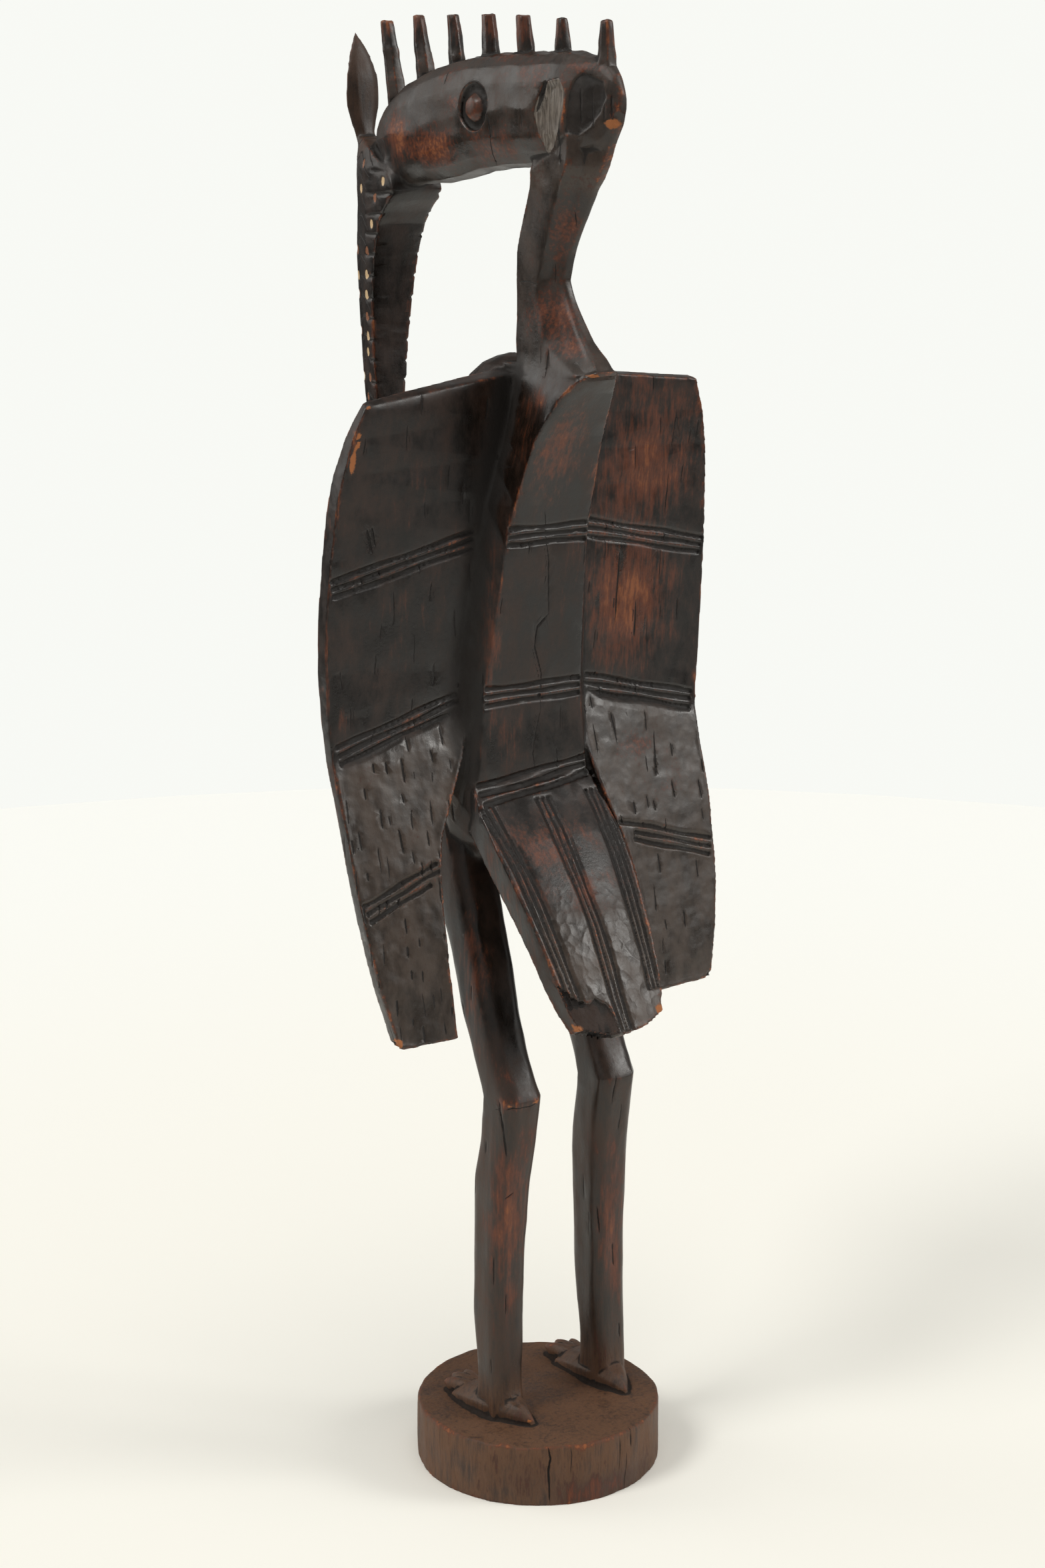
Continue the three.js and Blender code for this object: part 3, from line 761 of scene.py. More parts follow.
class CarvedBird:
    """The whole figure as one dense surface, which stands for the frame's solid."""

    VOXEL = 1.8 * MM
    QUICK_VOXEL = 3.0 * MM
    SAME_PLACE = 1e-6
    SOFTEN_STEPS = 2
    MOST_TRIANGLES = 196_000

    HOLLOWS = (
        Scoop((-21, 26, 932), (11, 13, 26), 2.4, 1.2),
        Scoop((24, -25, 903), (20, 40, 9), 1.6),
    )
    BREAKS = (
        Scoop((150, -17, 706), (5, 4, 9), 0.8),
        Scoop((142, 10, 302), (6, 8, 5), 2.5, 2),
        Scoop((120, 16, 300), (9, 8, 2.2), 1.6, 2),
        Scoop((-140, 12, 302), (5, 8, 6), 2.2, 2),
        Scoop((-44, 84, 318), (7, 9, 8), 2.4, 2),
        Scoop((88, 24, 0), (7, 11, 3.4), 1.2),
        Scoop((83, 40, 0), (8, 11, 3.4), 1.4),
        Scoop((68.6, 60, 0), (12, 10, 3), 1.0),
        Scoop((27, 84, 0), (16, 6, 3), 1.2),
        Scoop((2.4, 77, 931), (4, 4, 5), 1.6, 1.6),
    )
    CHECKS = (
        # down the back plate
        Check(((9, 9, 672), (3, 1, 650), (-3, -4, 630), (-6, -8, 606), (-8, -10, 589)), 0.35, 1.0),
        Check(((-8, -10, 589), (1, -12, 581), (2, -13.5, 566), (-6, -16, 545), (-7, -18, 518)), 0.5, 1.4),
        Check(((-7, -18, 518), (-2, -18, 500), (0, -18, 487), (-2, -20, 476)), 0.45, 1.2),
        Check(((-21, -18.7, 488), (-22.7, -19.3, 474)), 0.5, 1.4),
        Check(((-5.4, -18.7, 530.5), (-5.4, -18.7, 527)), 1.5, 3.0),
        # on the right wing
        Check(((-83.6, -25, 624), (-83.5, -27.7, 598), (-83, -29.8, 571)), 0.7, 2.2),
        Check(((-101.8, -29.4, 586), (-102.9, -31, 558)), 0.7, 2.4),
        Check(((-117, -24, 487), (-112, -15, 455)), 0.9, 3.0),
        # on the head's left side
        Check(((20.9, 22.3, 955), (22, 18.6, 943), (22.7, 14.4, 934)), 2.2, 4.6),
        Check(((21.5, 26, 951), (22, 22.5, 941), (22.5, 19, 935)), 1.2, 2.6),
        Check(((20.2, 34.5, 938), (19.3, 34, 921), (17.2, 33, 902)), 1.3, 3.6),
        Check(((20.4, 27, 928), (19.3, 27.5, 918), (18.2, 28.5, 909)), 0.8, 2.4),
        Check(((20.8, 21.5, 926), (20.4, 22, 918)), 0.9, 2.4),
        Check(((24.8, -38.4, 938), (23.3, -35.9, 918), (12, -44.5, 899)), 0.55, 1.6),
        Check(((11.7, 59.2, 952), (11.2, 60, 939), (10.8, 61, 926)), 0.5, 1.4),
        Check(((13.7, 50.5, 950), (13.2, 51, 936), (13.4, 51.5, 928)), 0.4, 1.0),
        Check(((5.9, 73.6, 946), (5.6, 74.1, 932)), 0.6, 1.6),
        Check(((8.2, 68.5, 941), (8, 69, 930)), 0.4, 1.0),
        # on the left wing's edge
        Check(((137, -23.5, 661), (132, -24.9, 644)), 1.4, 3.4),
        Check(((133, -23, 662), (129.5, -24.5, 648)), 0.8, 2.4),
        # on the neck
        Check(((12.6, -18, 821), (14.6, -8, 822), (13.9, 3.7, 820.6)), 0.4, 1.2),
        Check(((14.6, 17.5, 778), (15.8, 17.6, 758)), 0.8, 2.6),
        Check(((15.6, 9, 781), (16.4, 10, 768)), 0.5, 1.4),
        # on the left leg and the plinth
        Check(((60, 20.9, 250), (58.5, 24.3, 225), (55.6, 24.4, 206)), 0.8, 2.6),
        Check(((59.6, 17.9, 241), (54.9, 31.5, 245), (41.3, 33.2, 244), (27.2, 27.9, 247)), 0.5, 1.2),
        Check(((55.5, 21.8, 172.6), (48.5, 22.9, 176.4)), 0.4, 1.0),
        Check(((56.9, 75.7, 1), (55.2, 76.6, -9), (56.6, 76, -18), (55.6, 76.6, -44)), 0.5, 2.0),
    )
    HEEL = Facet(((57, 20), (43, 20), (46.2, 36)), (0, 1))
    TORN = Facet((
        (24.6, 955), (15.4, 943), (11.7, 934), (14.6, 923), (17.8, 915), (18.7, 907), (26.4, 912), (34.8, 924),
        (38.6, 937), (39.6, 949.5), (33.7, 957),
    ))
    FLAT = Facet((
        (46.5, 957), (42.6, 947), (41, 934), (39, 922), (49, 920), (58.5, 926), (66, 935), (69.5, 945), (67, 955),
        (51, 961),
    ))
    TORN_DEPTH = 3.6
    TORN_RIM = 0.9
    FLAT_DEPTH = 1.7
    HEEL_DEPTH = 1.4
    TAIL_BREAK_DEPTH = 3.2
    RELIEF = "relief"
    FINE_STEPS = 12
    BROAD_STEPS = 30
    SPLITS_APART = 7.5
    KEPT_FINE = 3.2
    SHARP_DEGREES = 42.0
    FEET_TOP = 24
    SHOULDERS = 776
    LEG_STEPS = 36
    JOIN_STEPS = 80
    LEAF_STEPS = 16
    KNEES_KEPT = 0.75
    FEET_MELTED = 0.35
    JOINS_MELTED = 0.95
    LEAF_MELTED = 0.9
    DEEPER = 0.9
    MOST_DEEPER = 1.3
    TOOTH_PITCH = 14.5
    NICK_PITCH = 15.4
    BEAK_EDGE_Z = (631, 683.5, 766.5, 832.5, 893)
    BEAK_EDGE_X = (3, 9.5, 16, 20, 23.5)

    def __init__(self) -> None:
        """Reads the frame's box."""
        self.low, self.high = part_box(NODE)
        self.cuts: list[Split] = []

    def block_out(self) -> bpy.types.Object:
        """A dense copy of the frame's solid with slightly softened edges.

        Returns:
            The new object, with its mesh applied.
        """
        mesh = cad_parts[NODE].data.copy()
        shell = bmesh.new()
        shell.from_mesh(mesh)
        bmesh.ops.remove_doubles(shell, verts=shell.verts, dist=self.SAME_PLACE)
        bmesh.ops.recalc_face_normals(shell, faces=shell.faces)
        shell.to_mesh(mesh)
        shell.free()
        piece = bpy.data.objects.new("hornbill_figure", mesh)
        bpy.context.scene.collection.objects.link(piece)
        remesh = piece.modifiers.new("even", "REMESH")
        remesh.mode = "VOXEL"
        remesh.voxel_size = self.VOXEL
        self.soften(piece)
        back = piece.modifiers.new("back onto the solid", "SHRINKWRAP")
        back.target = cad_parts[NODE]
        self.soften(piece)
        return self.applied(piece)

    def soften(self, piece: bpy.types.Object) -> None:
        """Adds a light smoothing."""
        soften = piece.modifiers.new("soften", "SMOOTH")
        soften.factor = 0.5
        soften.iterations = self.SOFTEN_STEPS

    def applied(self, piece: bpy.types.Object) -> bpy.types.Object:
        """The piece with its modifiers made part of its mesh.

        Args:
            piece: The piece to change.

        Returns:
            The same piece.
        """
        evaluated = piece.evaluated_get(bpy.context.evaluated_depsgraph_get())
        made = bpy.data.meshes.new_from_object(evaluated)
        old = piece.data
        piece.modifiers.clear()
        piece.data = made
        bpy.data.meshes.remove(old)
        return piece

    def soften_corners(self, skin: Skin) -> None:
        """Takes the hard arrises off the legs and feet, and lets hard joins on the head and neck flow.

        Args:
            skin: The surface.
        """
        parts = Regions(skin)
        legs = parts.legs * (1 - self.KNEES_KEPT * parts.knees)
        skin.melt(np.clip(legs + self.FEET_MELTED * parts.feet, 0, 1), self.LEG_STEPS)
        joins = parts.beak_root + parts.neck_hollow + parts.neck_foot
        skin.melt(self.JOINS_MELTED * np.clip(joins, 0, 1), self.JOIN_STEPS)
        skin.melt(self.LEAF_MELTED * np.clip(parts.leaf + ramp(parts.recess, 9, 4), 0, 1), self.LEAF_STEPS)

    def deepen(self, skin: Skin) -> None:
        """Cuts the grooves and corners that the even surface has filled a little deeper.

        Args:
            skin: The surface.
        """
        relief = skin.relief(self.FINE_STEPS)
        off_ridges = ramp(skin.relaxed(relief[:, None], 6)[:, 0], 0.22, 0.0)
        where = off_ridges * (1 - Regions(skin).legs) * ramp(skin.z, -4, 0)
        skin.sink(np.clip(-relief - 0.06, 0, self.MOST_DEEPER) * self.DEEPER * where)

    def shape_forms(self, skin: Skin) -> None:
        """Sinks the broad marks: hand-cut unevenness, adze bowls, hollows and breaks.

        Args:
            skin: The surface.
        """
        parts = Regions(skin)
        places = skin.places
        plain = 1 - parts.bands
        rough = parts.lower_wings * plain
        depth = 0.5 * ripple(places, (38, 38, 64), 1)
        depth += rough * (0.9 * ripple(places, (34, 60, 50), 3) + 0.3)
        depth += parts.wing_edges * (0.4 * ripple(places, (60, 60, 52), 4) + 0.3)
        depth += parts.plinth * 1.1 * ripple(places, (34, 34, 60), 6)
        depth += parts.belly * 0.7 * ripple(places, (45, 45, 55), 7)
        for region, size, deep, seed in (
            (rough, (24, 60, 30), 0.7, 20),
            (parts.wing_edges, (40, 40, 46), 0.6, 28),
            (parts.legs, (16, 16, 60), 1.0, 32),
            (parts.belly, (24, 24, 34), 0.9, 36),
            (parts.head, (30, 34, 22), 1.3, 40),
            (parts.neck * ramp(skin.z, 768, 780), (22, 22, 44), 0.9, 52),
            (parts.plinth, (26, 26, 46), 0.9, 44),
            (parts.pegs, (9, 9, 34), 1.5, 48),
        ):
            where = np.nonzero(region > 0.01)[0]
            depth[where] -= region[where] * deep * (0.5 - bowls(places[where], size, seed))
        for scoop in (*self.HOLLOWS, *self.BREAKS):
            depth += scoop.cut(skin)
        torn, flat, broken = self.TORN.inward(skin), self.FLAT.inward(skin), parts.tail_rim
        depth += self.TORN_DEPTH * ramp(torn, 0, 7.5) + self.TORN_RIM * ramp(torn, -0.8, 0.8)
        depth += self.FLAT_DEPTH * ramp(flat, -1.0, 1.0) + self.HEEL_DEPTH * ramp(self.HEEL.inward(skin), -0.5, 5)
        depth += self.TAIL_BREAK_DEPTH * ramp(broken, -1.2, 1.6) * (0.8 + 0.3 * ripple(places, (8, 30, 20), 73))
        depth += Eye().cut(skin)
        skin.sink(depth)

    def cut_clasp(self, skin: Skin) -> None:
        """Sinks the toothed edge of the beak's band, its spots, and the nicks along the beak.

        Args:
            skin: The surface.
        """
        parts = Regions(skin)
        clasp, flat = parts.clasp, parts.beak * (1 - parts.clasp)
        rib = clasp * 0.8 * np.clip(1 - np.abs(skin.y + 209) / 1.4, 0, 1)
        tooth = (skin.z + 5 * (skin.x > 0)) / self.TOOTH_PITCH
        front = ramp(skin.normals[:, 1], -0.55, -0.8)
        teeth = clasp * front * 1.6 * np.abs(2 * (tooth - np.floor(tooth)) - 1)
        edge = np.interp(skin.z, self.BEAK_EDGE_Z, self.BEAK_EDGE_X)
        nick = (skin.z + 1.5 + 2 * ripple(skin.places, (90, 90, 30), 62)) / self.NICK_PITCH
        gap = np.abs(nick - np.round(nick)) * self.NICK_PITCH
        nicks = flat * ramp(edge - skin.out, 3.5, 0.5) * 1.8 * np.clip(1 - gap / 1.6, 0, 1)
        x, y, z = skin.places.T
        scrapes = flat * 0.3 * ripple(np.stack([x + z, x - z, y], axis=1), (30, 6, 40), 63)
        skin.sink(rib + teeth + nicks + scrapes + BandSpots().cut(skin))

    def splits(self, skin: Skin) -> list[Split]:
        """The named splits and the many small ones along the grain.

        Args:
            skin: The surface.

        Returns:
            All of them.
        """
        parts = Regions(skin)
        left, right = skin.x > 0, skin.x < 0
        grooves = (skin.relief(self.FINE_STEPS) < -0.35) * (parts.wings + parts.plate)
        upper = parts.wings * (1 - parts.lower_wings)
        made = [check.split() for check in self.CHECKS]
        for checks, region in (
            (GrainChecks(110, (7, 26), 0.85, 2.0, 101), parts.lower_wings * left),
            (GrainChecks(34, (10, 34), 0.8, 2.0, 102), parts.lower_wings * right),
            (GrainChecks(26, (10, 34), 0.5, 1.0, 103), upper * left),
            (GrainChecks(26, (12, 44), 0.5, 1.0, 104), upper * right),
            (GrainChecks(44, (4, 9), 0.5, 1.2, 114), np.clip(grooves, 0, 1)),
            (GrainChecks(8, (10, 30), 0.4, 0.8, 105), parts.plate),
            (GrainChecks(22, (12, 40), 0.55, 1.2, 106), parts.legs * left),
            (GrainChecks(18, (12, 40), 0.55, 1.2, 107), parts.legs * right),
            (GrainChecks(30, (12, 44), 0.5, 1.0, 108), parts.plinth * ramp(skin.z, -2, -5)),
            (GrainChecks(16, (12, 34), 0.5, 1.0, 109), parts.belly),
            (GrainChecks(5, (12, 24), 0.5, 1.4, 110), ramp(self.TORN.inward(skin), 0, 3)),
            (GrainChecks(4, (10, 22), 0.4, 0.8, 115), ramp(self.FLAT.inward(skin), 0, 3)),
            (GrainChecks(10, (8, 18), 0.4, 0.8, 111), parts.head),
            (GrainChecks(16, (10, 34), 0.6, 1.2, 112), parts.wing_edges),
            (GrainChecks(16, (9, 24), 0.45, 1.0, 113), parts.neck),
        ):
            made += checks.splits(skin, region)
        return self.apart(made)

    def apart(self, splits: list[Split]) -> list[Split]:
        """Leaves out each split that comes too near an earlier one.

        Args:
            splits: The splits, the most important first.

        Returns:
            Those that stay.
        """
        far_off = 9.0
        kept, taken = [], np.full((1, 3), far_off)
        for split in splits:
            places = np.concatenate([
                a + np.linspace(0, 1, 5)[:, None] * (b - a) for a, b in zip(split.route, split.route[1:])
            ])
            nearest = np.linalg.norm(places[:, None] - taken[None], axis=2).min()
            if len(kept) < len(self.CHECKS) or nearest > self.SPLITS_APART * MM:
                kept.append(split)
                taken = np.concatenate([taken, places])
        return kept

    def thin(self, piece: bpy.types.Object, gap: np.ndarray) -> None:
        """Brings the surface under its number of triangles, keeping it fine along the splits.

        Args:
            piece: The piece to thin.
            gap: How far each vertex lies from its nearest split, in millimetres.
        """
        piece.data.calc_loop_triangles()
        free = piece.vertex_groups.new(name="free")
        free.add(np.nonzero(gap > self.KEPT_FINE)[0].tolist(), 1.0, "REPLACE")
        thinner = piece.modifiers.new("thin", "DECIMATE")
        thinner.vertex_group = free.name
        thinner.vertex_group_factor = 0.5
        thinner.ratio = min(1.0, self.MOST_TRIANGLES / len(piece.data.loop_triangles))
        thinner.use_collapse_triangulate = True
        self.applied(piece)
        piece.vertex_groups.clear()

    def sharpen(self, piece: bpy.types.Object) -> None:
        """Shades the piece smooth, apart from its arrises outside the grooves.

        Args:
            piece: The thinned piece.
        """
        mesh = piece.data
        mesh.polygons.foreach_set("use_smooth", np.ones(len(mesh.polygons), bool))
        mesh.set_sharp_from_angle(angle=math.radians(self.SHARP_DEGREES))
        skin = Skin(mesh)
        parts = Regions(skin)
        soft = (parts.bands > 0.2) | (parts.tail > 0.2) | (skin.z < self.FEET_TOP) | (skin.z > self.SHOULDERS)
        sharp = np.empty(len(mesh.edges), bool)
        mesh.edges.foreach_get("use_edge_sharp", sharp)
        mesh.edges.foreach_set("use_edge_sharp", sharp & ~soft[skin.ends].any(axis=1))

    def build(self) -> bpy.types.Object:
        """Makes the whole figure.

        Returns:
            The finished, smooth-shaded piece.
        """
        piece = self.block_out()
        skin = Skin(piece.data)
        self.soften_corners(skin)
        self.deepen(skin)
        self.cuts = self.splits(skin)
        self.shape_forms(skin)
        self.cut_clasp(skin)
        field = SplitField(skin, self.cuts)
        skin.sink(field.depth)
        skin.keep_in(self.low, self.high)
        relief = 0.5 * (skin.relief(self.FINE_STEPS) + skin.relief(self.BROAD_STEPS))
        layer = piece.data.attributes.new(self.RELIEF, "FLOAT", "POINT")
        layer.data.foreach_set("value", relief.astype(np.float32))
        self.thin(piece, field.gap)
        Skin(piece.data).keep_in(self.low, self.high)
        self.sharpen(piece)
        return piece


@dataclass(frozen=True)
class Patch:
    """A soft place on the surface that carries some of a finish."""

    FALL_OFF = 1.4

    centre: Triple
    reach: Triple
    strength: float

    def weight(self, skin: Skin) -> np.ndarray:
        """How strong the patch is at each vertex."""
        return self.strength * np.exp(-self.FALL_OFF * skin.radii_from(self.centre, self.reach))


class SurfacePaint:
    """Writes where wear, bare wood, sheen, painted shade, painted sheen and the marks lie, as attributes of the
    mesh.
    """

    NET_PITCH = 9.5
    NET_SLOPE = 0.55
    MOST_WEAR = 1.3
    MOST_RAW = 1.2
    ARRIS_START, ARRIS_RANGE = 0.22, 0.8
    HOLLOW_START, HOLLOW_RANGE = 0.12, 0.6
    WEAR = (
        # wings and back plate
        Patch((-100, -22, 690), (70, 34, 80), 1.0),
        Patch((-95, -26, 590), (60, 34, 70), 1.2),
        Patch((6, 18, 710), (30, 40, 55), 0.9),
        Patch((-25, -8, 620), (14, 20, 60), 0.4),
        Patch((40, -14, 560), (10, 14, 110), 0.8),
        Patch((20, -16, 500), (22, 20, 24), 0.7),
        Patch((95, -20, 690), (40, 20, 40), 0.3),
        Patch((100, -28, 590), (60, 20, 60), 0.4),
        Patch((153, -30, 531), (8, 8, 10), 1.0),
        # tail
        Patch((15, 18, 425), (60, 50, 34), 0.8),
        Patch((0, 36, 400), (50, 24, 22), 0.8),
        Patch((50, 20, 385), (6, 60, 80), 0.7),
        # head and crest
        Patch((22, -112, 908), (14, 56, 22), 1.25),
        Patch((22, -150, 916), (14, 30, 26), 1.2),
        Patch((25, -78, 940), (6, 12, 9), 0.9),
        Patch((18, -90, 958), (14, 30, 12), 0.6),
        Patch((20, -40, 912), (18, 90, 40), 0.6),
        Patch((10, -40, 972), (16, 60, 12), 0.6),
        Patch((11, 54, 964), (12, 24, 6), 0.9),
        Patch((5, 74, 940), (8, 12, 24), 0.6),
        Patch((0, -60, 992), (30, 170, 18), 0.95),
        Patch((18, 4, 960), (14, 60, 16), 0.6),
        # neck
        Patch((8, 26, 855), (12, 30, 60), 0.9),
        Patch((10, 20, 800), (14, 34, 26), 1.15),
        Patch((9, 32, 780), (12, 30, 14), 1.0),
        Patch((14, -5, 800), (6, 16, 18), 0.7),
        Patch((22, 20, 743), (8, 12, 14), 0.9),
        # legs and the right wing's lower part
        Patch((50, 20, 150), (26, 24, 110), 0.95),
        Patch((-45, 20, 130), (26, 24, 130), 0.8),
        Patch((50, 26, 246), (26, 20, 8), 0.8),
        Patch((56, -14, 330), (14, 20, 80), 0.8),
        Patch((-95, -20, 480), (30, 20, 16), 0.8),
        Patch((-120, -15, 450), (30, 20, 30), 0.5),
        # heel and plinth
        Patch((50, 30, 5), (14, 16, 14), 0.6),
        Patch((70, 70, -30), (70, 70, 30), 0.5),
        Patch((15, 95, -38), (80, 60, 16), 0.9),
    )
    RAW = (
        Patch((151, -17.5, 707), (3.4, 3.6, 13), 1.15),
        Patch((148, -16.5, 724), (2.6, 3.4, 8), 1.1),
        Patch((142, -13, 744), (6, 4, 2.6), 1.1),
        Patch((142, 12, 303), (5, 8, 6), 1.0),
        Patch((10, 88, 308), (16, 10, 5), 0.7),
        Patch((-42, 84, 316), (6, 8, 5), 1.0),
        Patch((36, 84, 316), (6, 10, 6), 0.6),
        Patch((4, 72, 928), (9, 9, 5), 1.1),
        Patch((10, 62, 763), (8, 9, 2.4), 1.0),
        Patch((143, 14, 306), (8, 10, 6), 1.1),
        Patch((38, 84, 314), (6, 10, 5), 1.0),
        Patch((-34, 86, 316), (5, 8, 5), 1.2),
        Patch((22, 22, 742), (2.5, 3, 5), 0.9),
        Patch((46, 39, 3), (3, 3, 3), 0.9),
        Patch((35, 33, 246), (8, 3, 2.5), 0.8),
        Patch((57, 30, 246), (3, 6, 2.5), 0.8),
    )

    def __init__(self, piece: bpy.types.Object, cuts: list[Split]) -> None:
        """Reads the thinned surface.

        Args:
            piece: The finished figure.
            cuts: The splits that were cut in it.
        """
        self.mesh = piece.data
        self.skin = Skin(piece.data)
        self.parts = Regions(self.skin)
        self.cuts = cuts

    def write(self, paint: Paint, values: np.ndarray) -> None:
        """Stores a number for each vertex as one attribute."""
        layer = self.mesh.attributes.new(paint.value, "FLOAT", "POINT")
        layer.data.foreach_set("value", values.astype(np.float32))

    def patches(self, patches: tuple[Patch, ...]) -> np.ndarray:
        """The strongest of several patches at each vertex, from 0 up."""
        return np.max([patch.weight(self.skin) for patch in patches], axis=0)

    def apply(self) -> None:
        """Writes every attribute."""
        self.write_wear()
        self.write_marks()
        self.write_lines()

    def write_wear(self) -> None:
        """Writes the tones, with painted shade in the hollows and the deep corner and a painted sheen where light
        is reflected, and the gloss.
        """
        s, parts = self.skin, self.parts
        layer = self.mesh.attributes[CarvedBird.RELIEF]
        relief = np.empty(len(s.places), np.float32)
        layer.data.foreach_get("value", relief)
        self.mesh.attributes.remove(layer)
        # recess below is a painted shade: a dark band along the deep corner between the left wing and the trunk,
        # where shadow falls
        leaf, recess, shade = parts.leaf, ramp(parts.recess, 32, 10), ramp(parts.tail_rim, -1, 3)
        low_tail = parts.tail * ramp(s.z + 14 * ripple(s.places, (18, 18, 18), 5), 404, 384) * (1 - shade)
        # low and pale carry a painted sheen: a paler grey on the head, neck, chest top and the lower wings and
        # tail, where light is reflected
        low = parts.lower_wings + parts.tail * ramp(s.z, 408, 362)
        pale = 0.5 * (parts.head + parts.neck) + 0.75 * low + 0.3 * parts.belly * ramp(s.z, 690, 720)
        # painted shade: darker where the surface lies below its surroundings, in grooves and hollows
        groove_shade = np.clip((-relief - self.HOLLOW_START) / self.HOLLOW_RANGE, 0, 1) * (1 - 0.7 * parts.neck)
        groove_shade *= 1 - ramp(CarvedBird.TORN.inward(s), -1, 2)
        dull = ramp(s.z, 4, 0) + 0.75 * ramp(s.z, 40, 8) + 0.22 * parts.legs * ramp(s.z, 300, 200) + 0.3 * leaf
        self.write(Paint.WEAR, np.clip(self.patches(self.WEAR), 0, self.MOST_WEAR) * (1 - 0.6 * shade))
        self.write(Paint.RAW, np.clip(self.patches(self.RAW), 0, self.MOST_RAW))
        for paint, values in (
            (Paint.ARRIS, (relief - self.ARRIS_START) / self.ARRIS_RANGE),
            # painted shade: black in grooves and hollows, and in the band along the deep corner by the left wing
            (Paint.HOLLOW, groove_shade + 0.65 * recess),
            (Paint.SHEEN, parts.lower_wings + 0.6 * parts.wing_edges),
            (Paint.DIMPLE, low_tail),
            (Paint.MATTE, dull),
            # painted sheen as a paler grey tone
            (Paint.PALE_SHEEN, np.clip(pale, 0, 1) * (1 - 0.8 * shade) * (1 - parts.beak) * (1 - leaf)),
        ):
            self.write(paint, np.clip(values, 0, 1))

    def write_marks(self) -> None:
        """Writes the marks with crisp borders, as distances from them."""
        field = SplitField(self.skin, self.cuts)
        far, tone = BandSpots().nearness(self.skin)
        for paint, values in (
            (Paint.SPLIT, field.across),
            (Paint.SPLIT_WIDTH, field.width),
            (Paint.TORN, CarvedBird.TORN.inward(self.skin)),
            (Paint.FLAT, CarvedBird.FLAT.inward(self.skin)),
            (Paint.BROKEN, self.parts.tail_rim),
            (Paint.EYE, Eye().radius(self.skin)[2]),
            (Paint.SPOT, far),
            (Paint.SPOT_TONE, tone),
        ):
            self.write(paint, values)

    def write_lines(self) -> None:
        """Writes the scale lines of the beak's band and the net of lines on the chest, as counts of lines."""
        s, parts = self.skin, self.parts
        self.write(Paint.CLASP, parts.clasp)
        self.write(Paint.SCALES, (s.z + 1.1 * np.abs(s.y + 205)) / CarvedBird.TOOTH_PITCH)
        angle = np.degrees(np.arctan2(s.x, -(s.y + 50)))
        self.write(Paint.CHEST, parts.belly * ramp(s.z, 690, 702) * ramp(np.abs(angle), 100, 80))
        self.write(Paint.NET_UP, (s.z + angle * self.NET_SLOPE) / self.NET_PITCH)
        self.write(Paint.NET_DOWN, (s.z - angle * self.NET_SLOPE) / self.NET_PITCH)


@dataclass(frozen=True)
class Noise:
    """A pattern of noise: scale along each axis, waves to the metre, octaves and how strong the small ones are."""

    stretch: Triple
    scale: float
    octaves: float
    rough: float


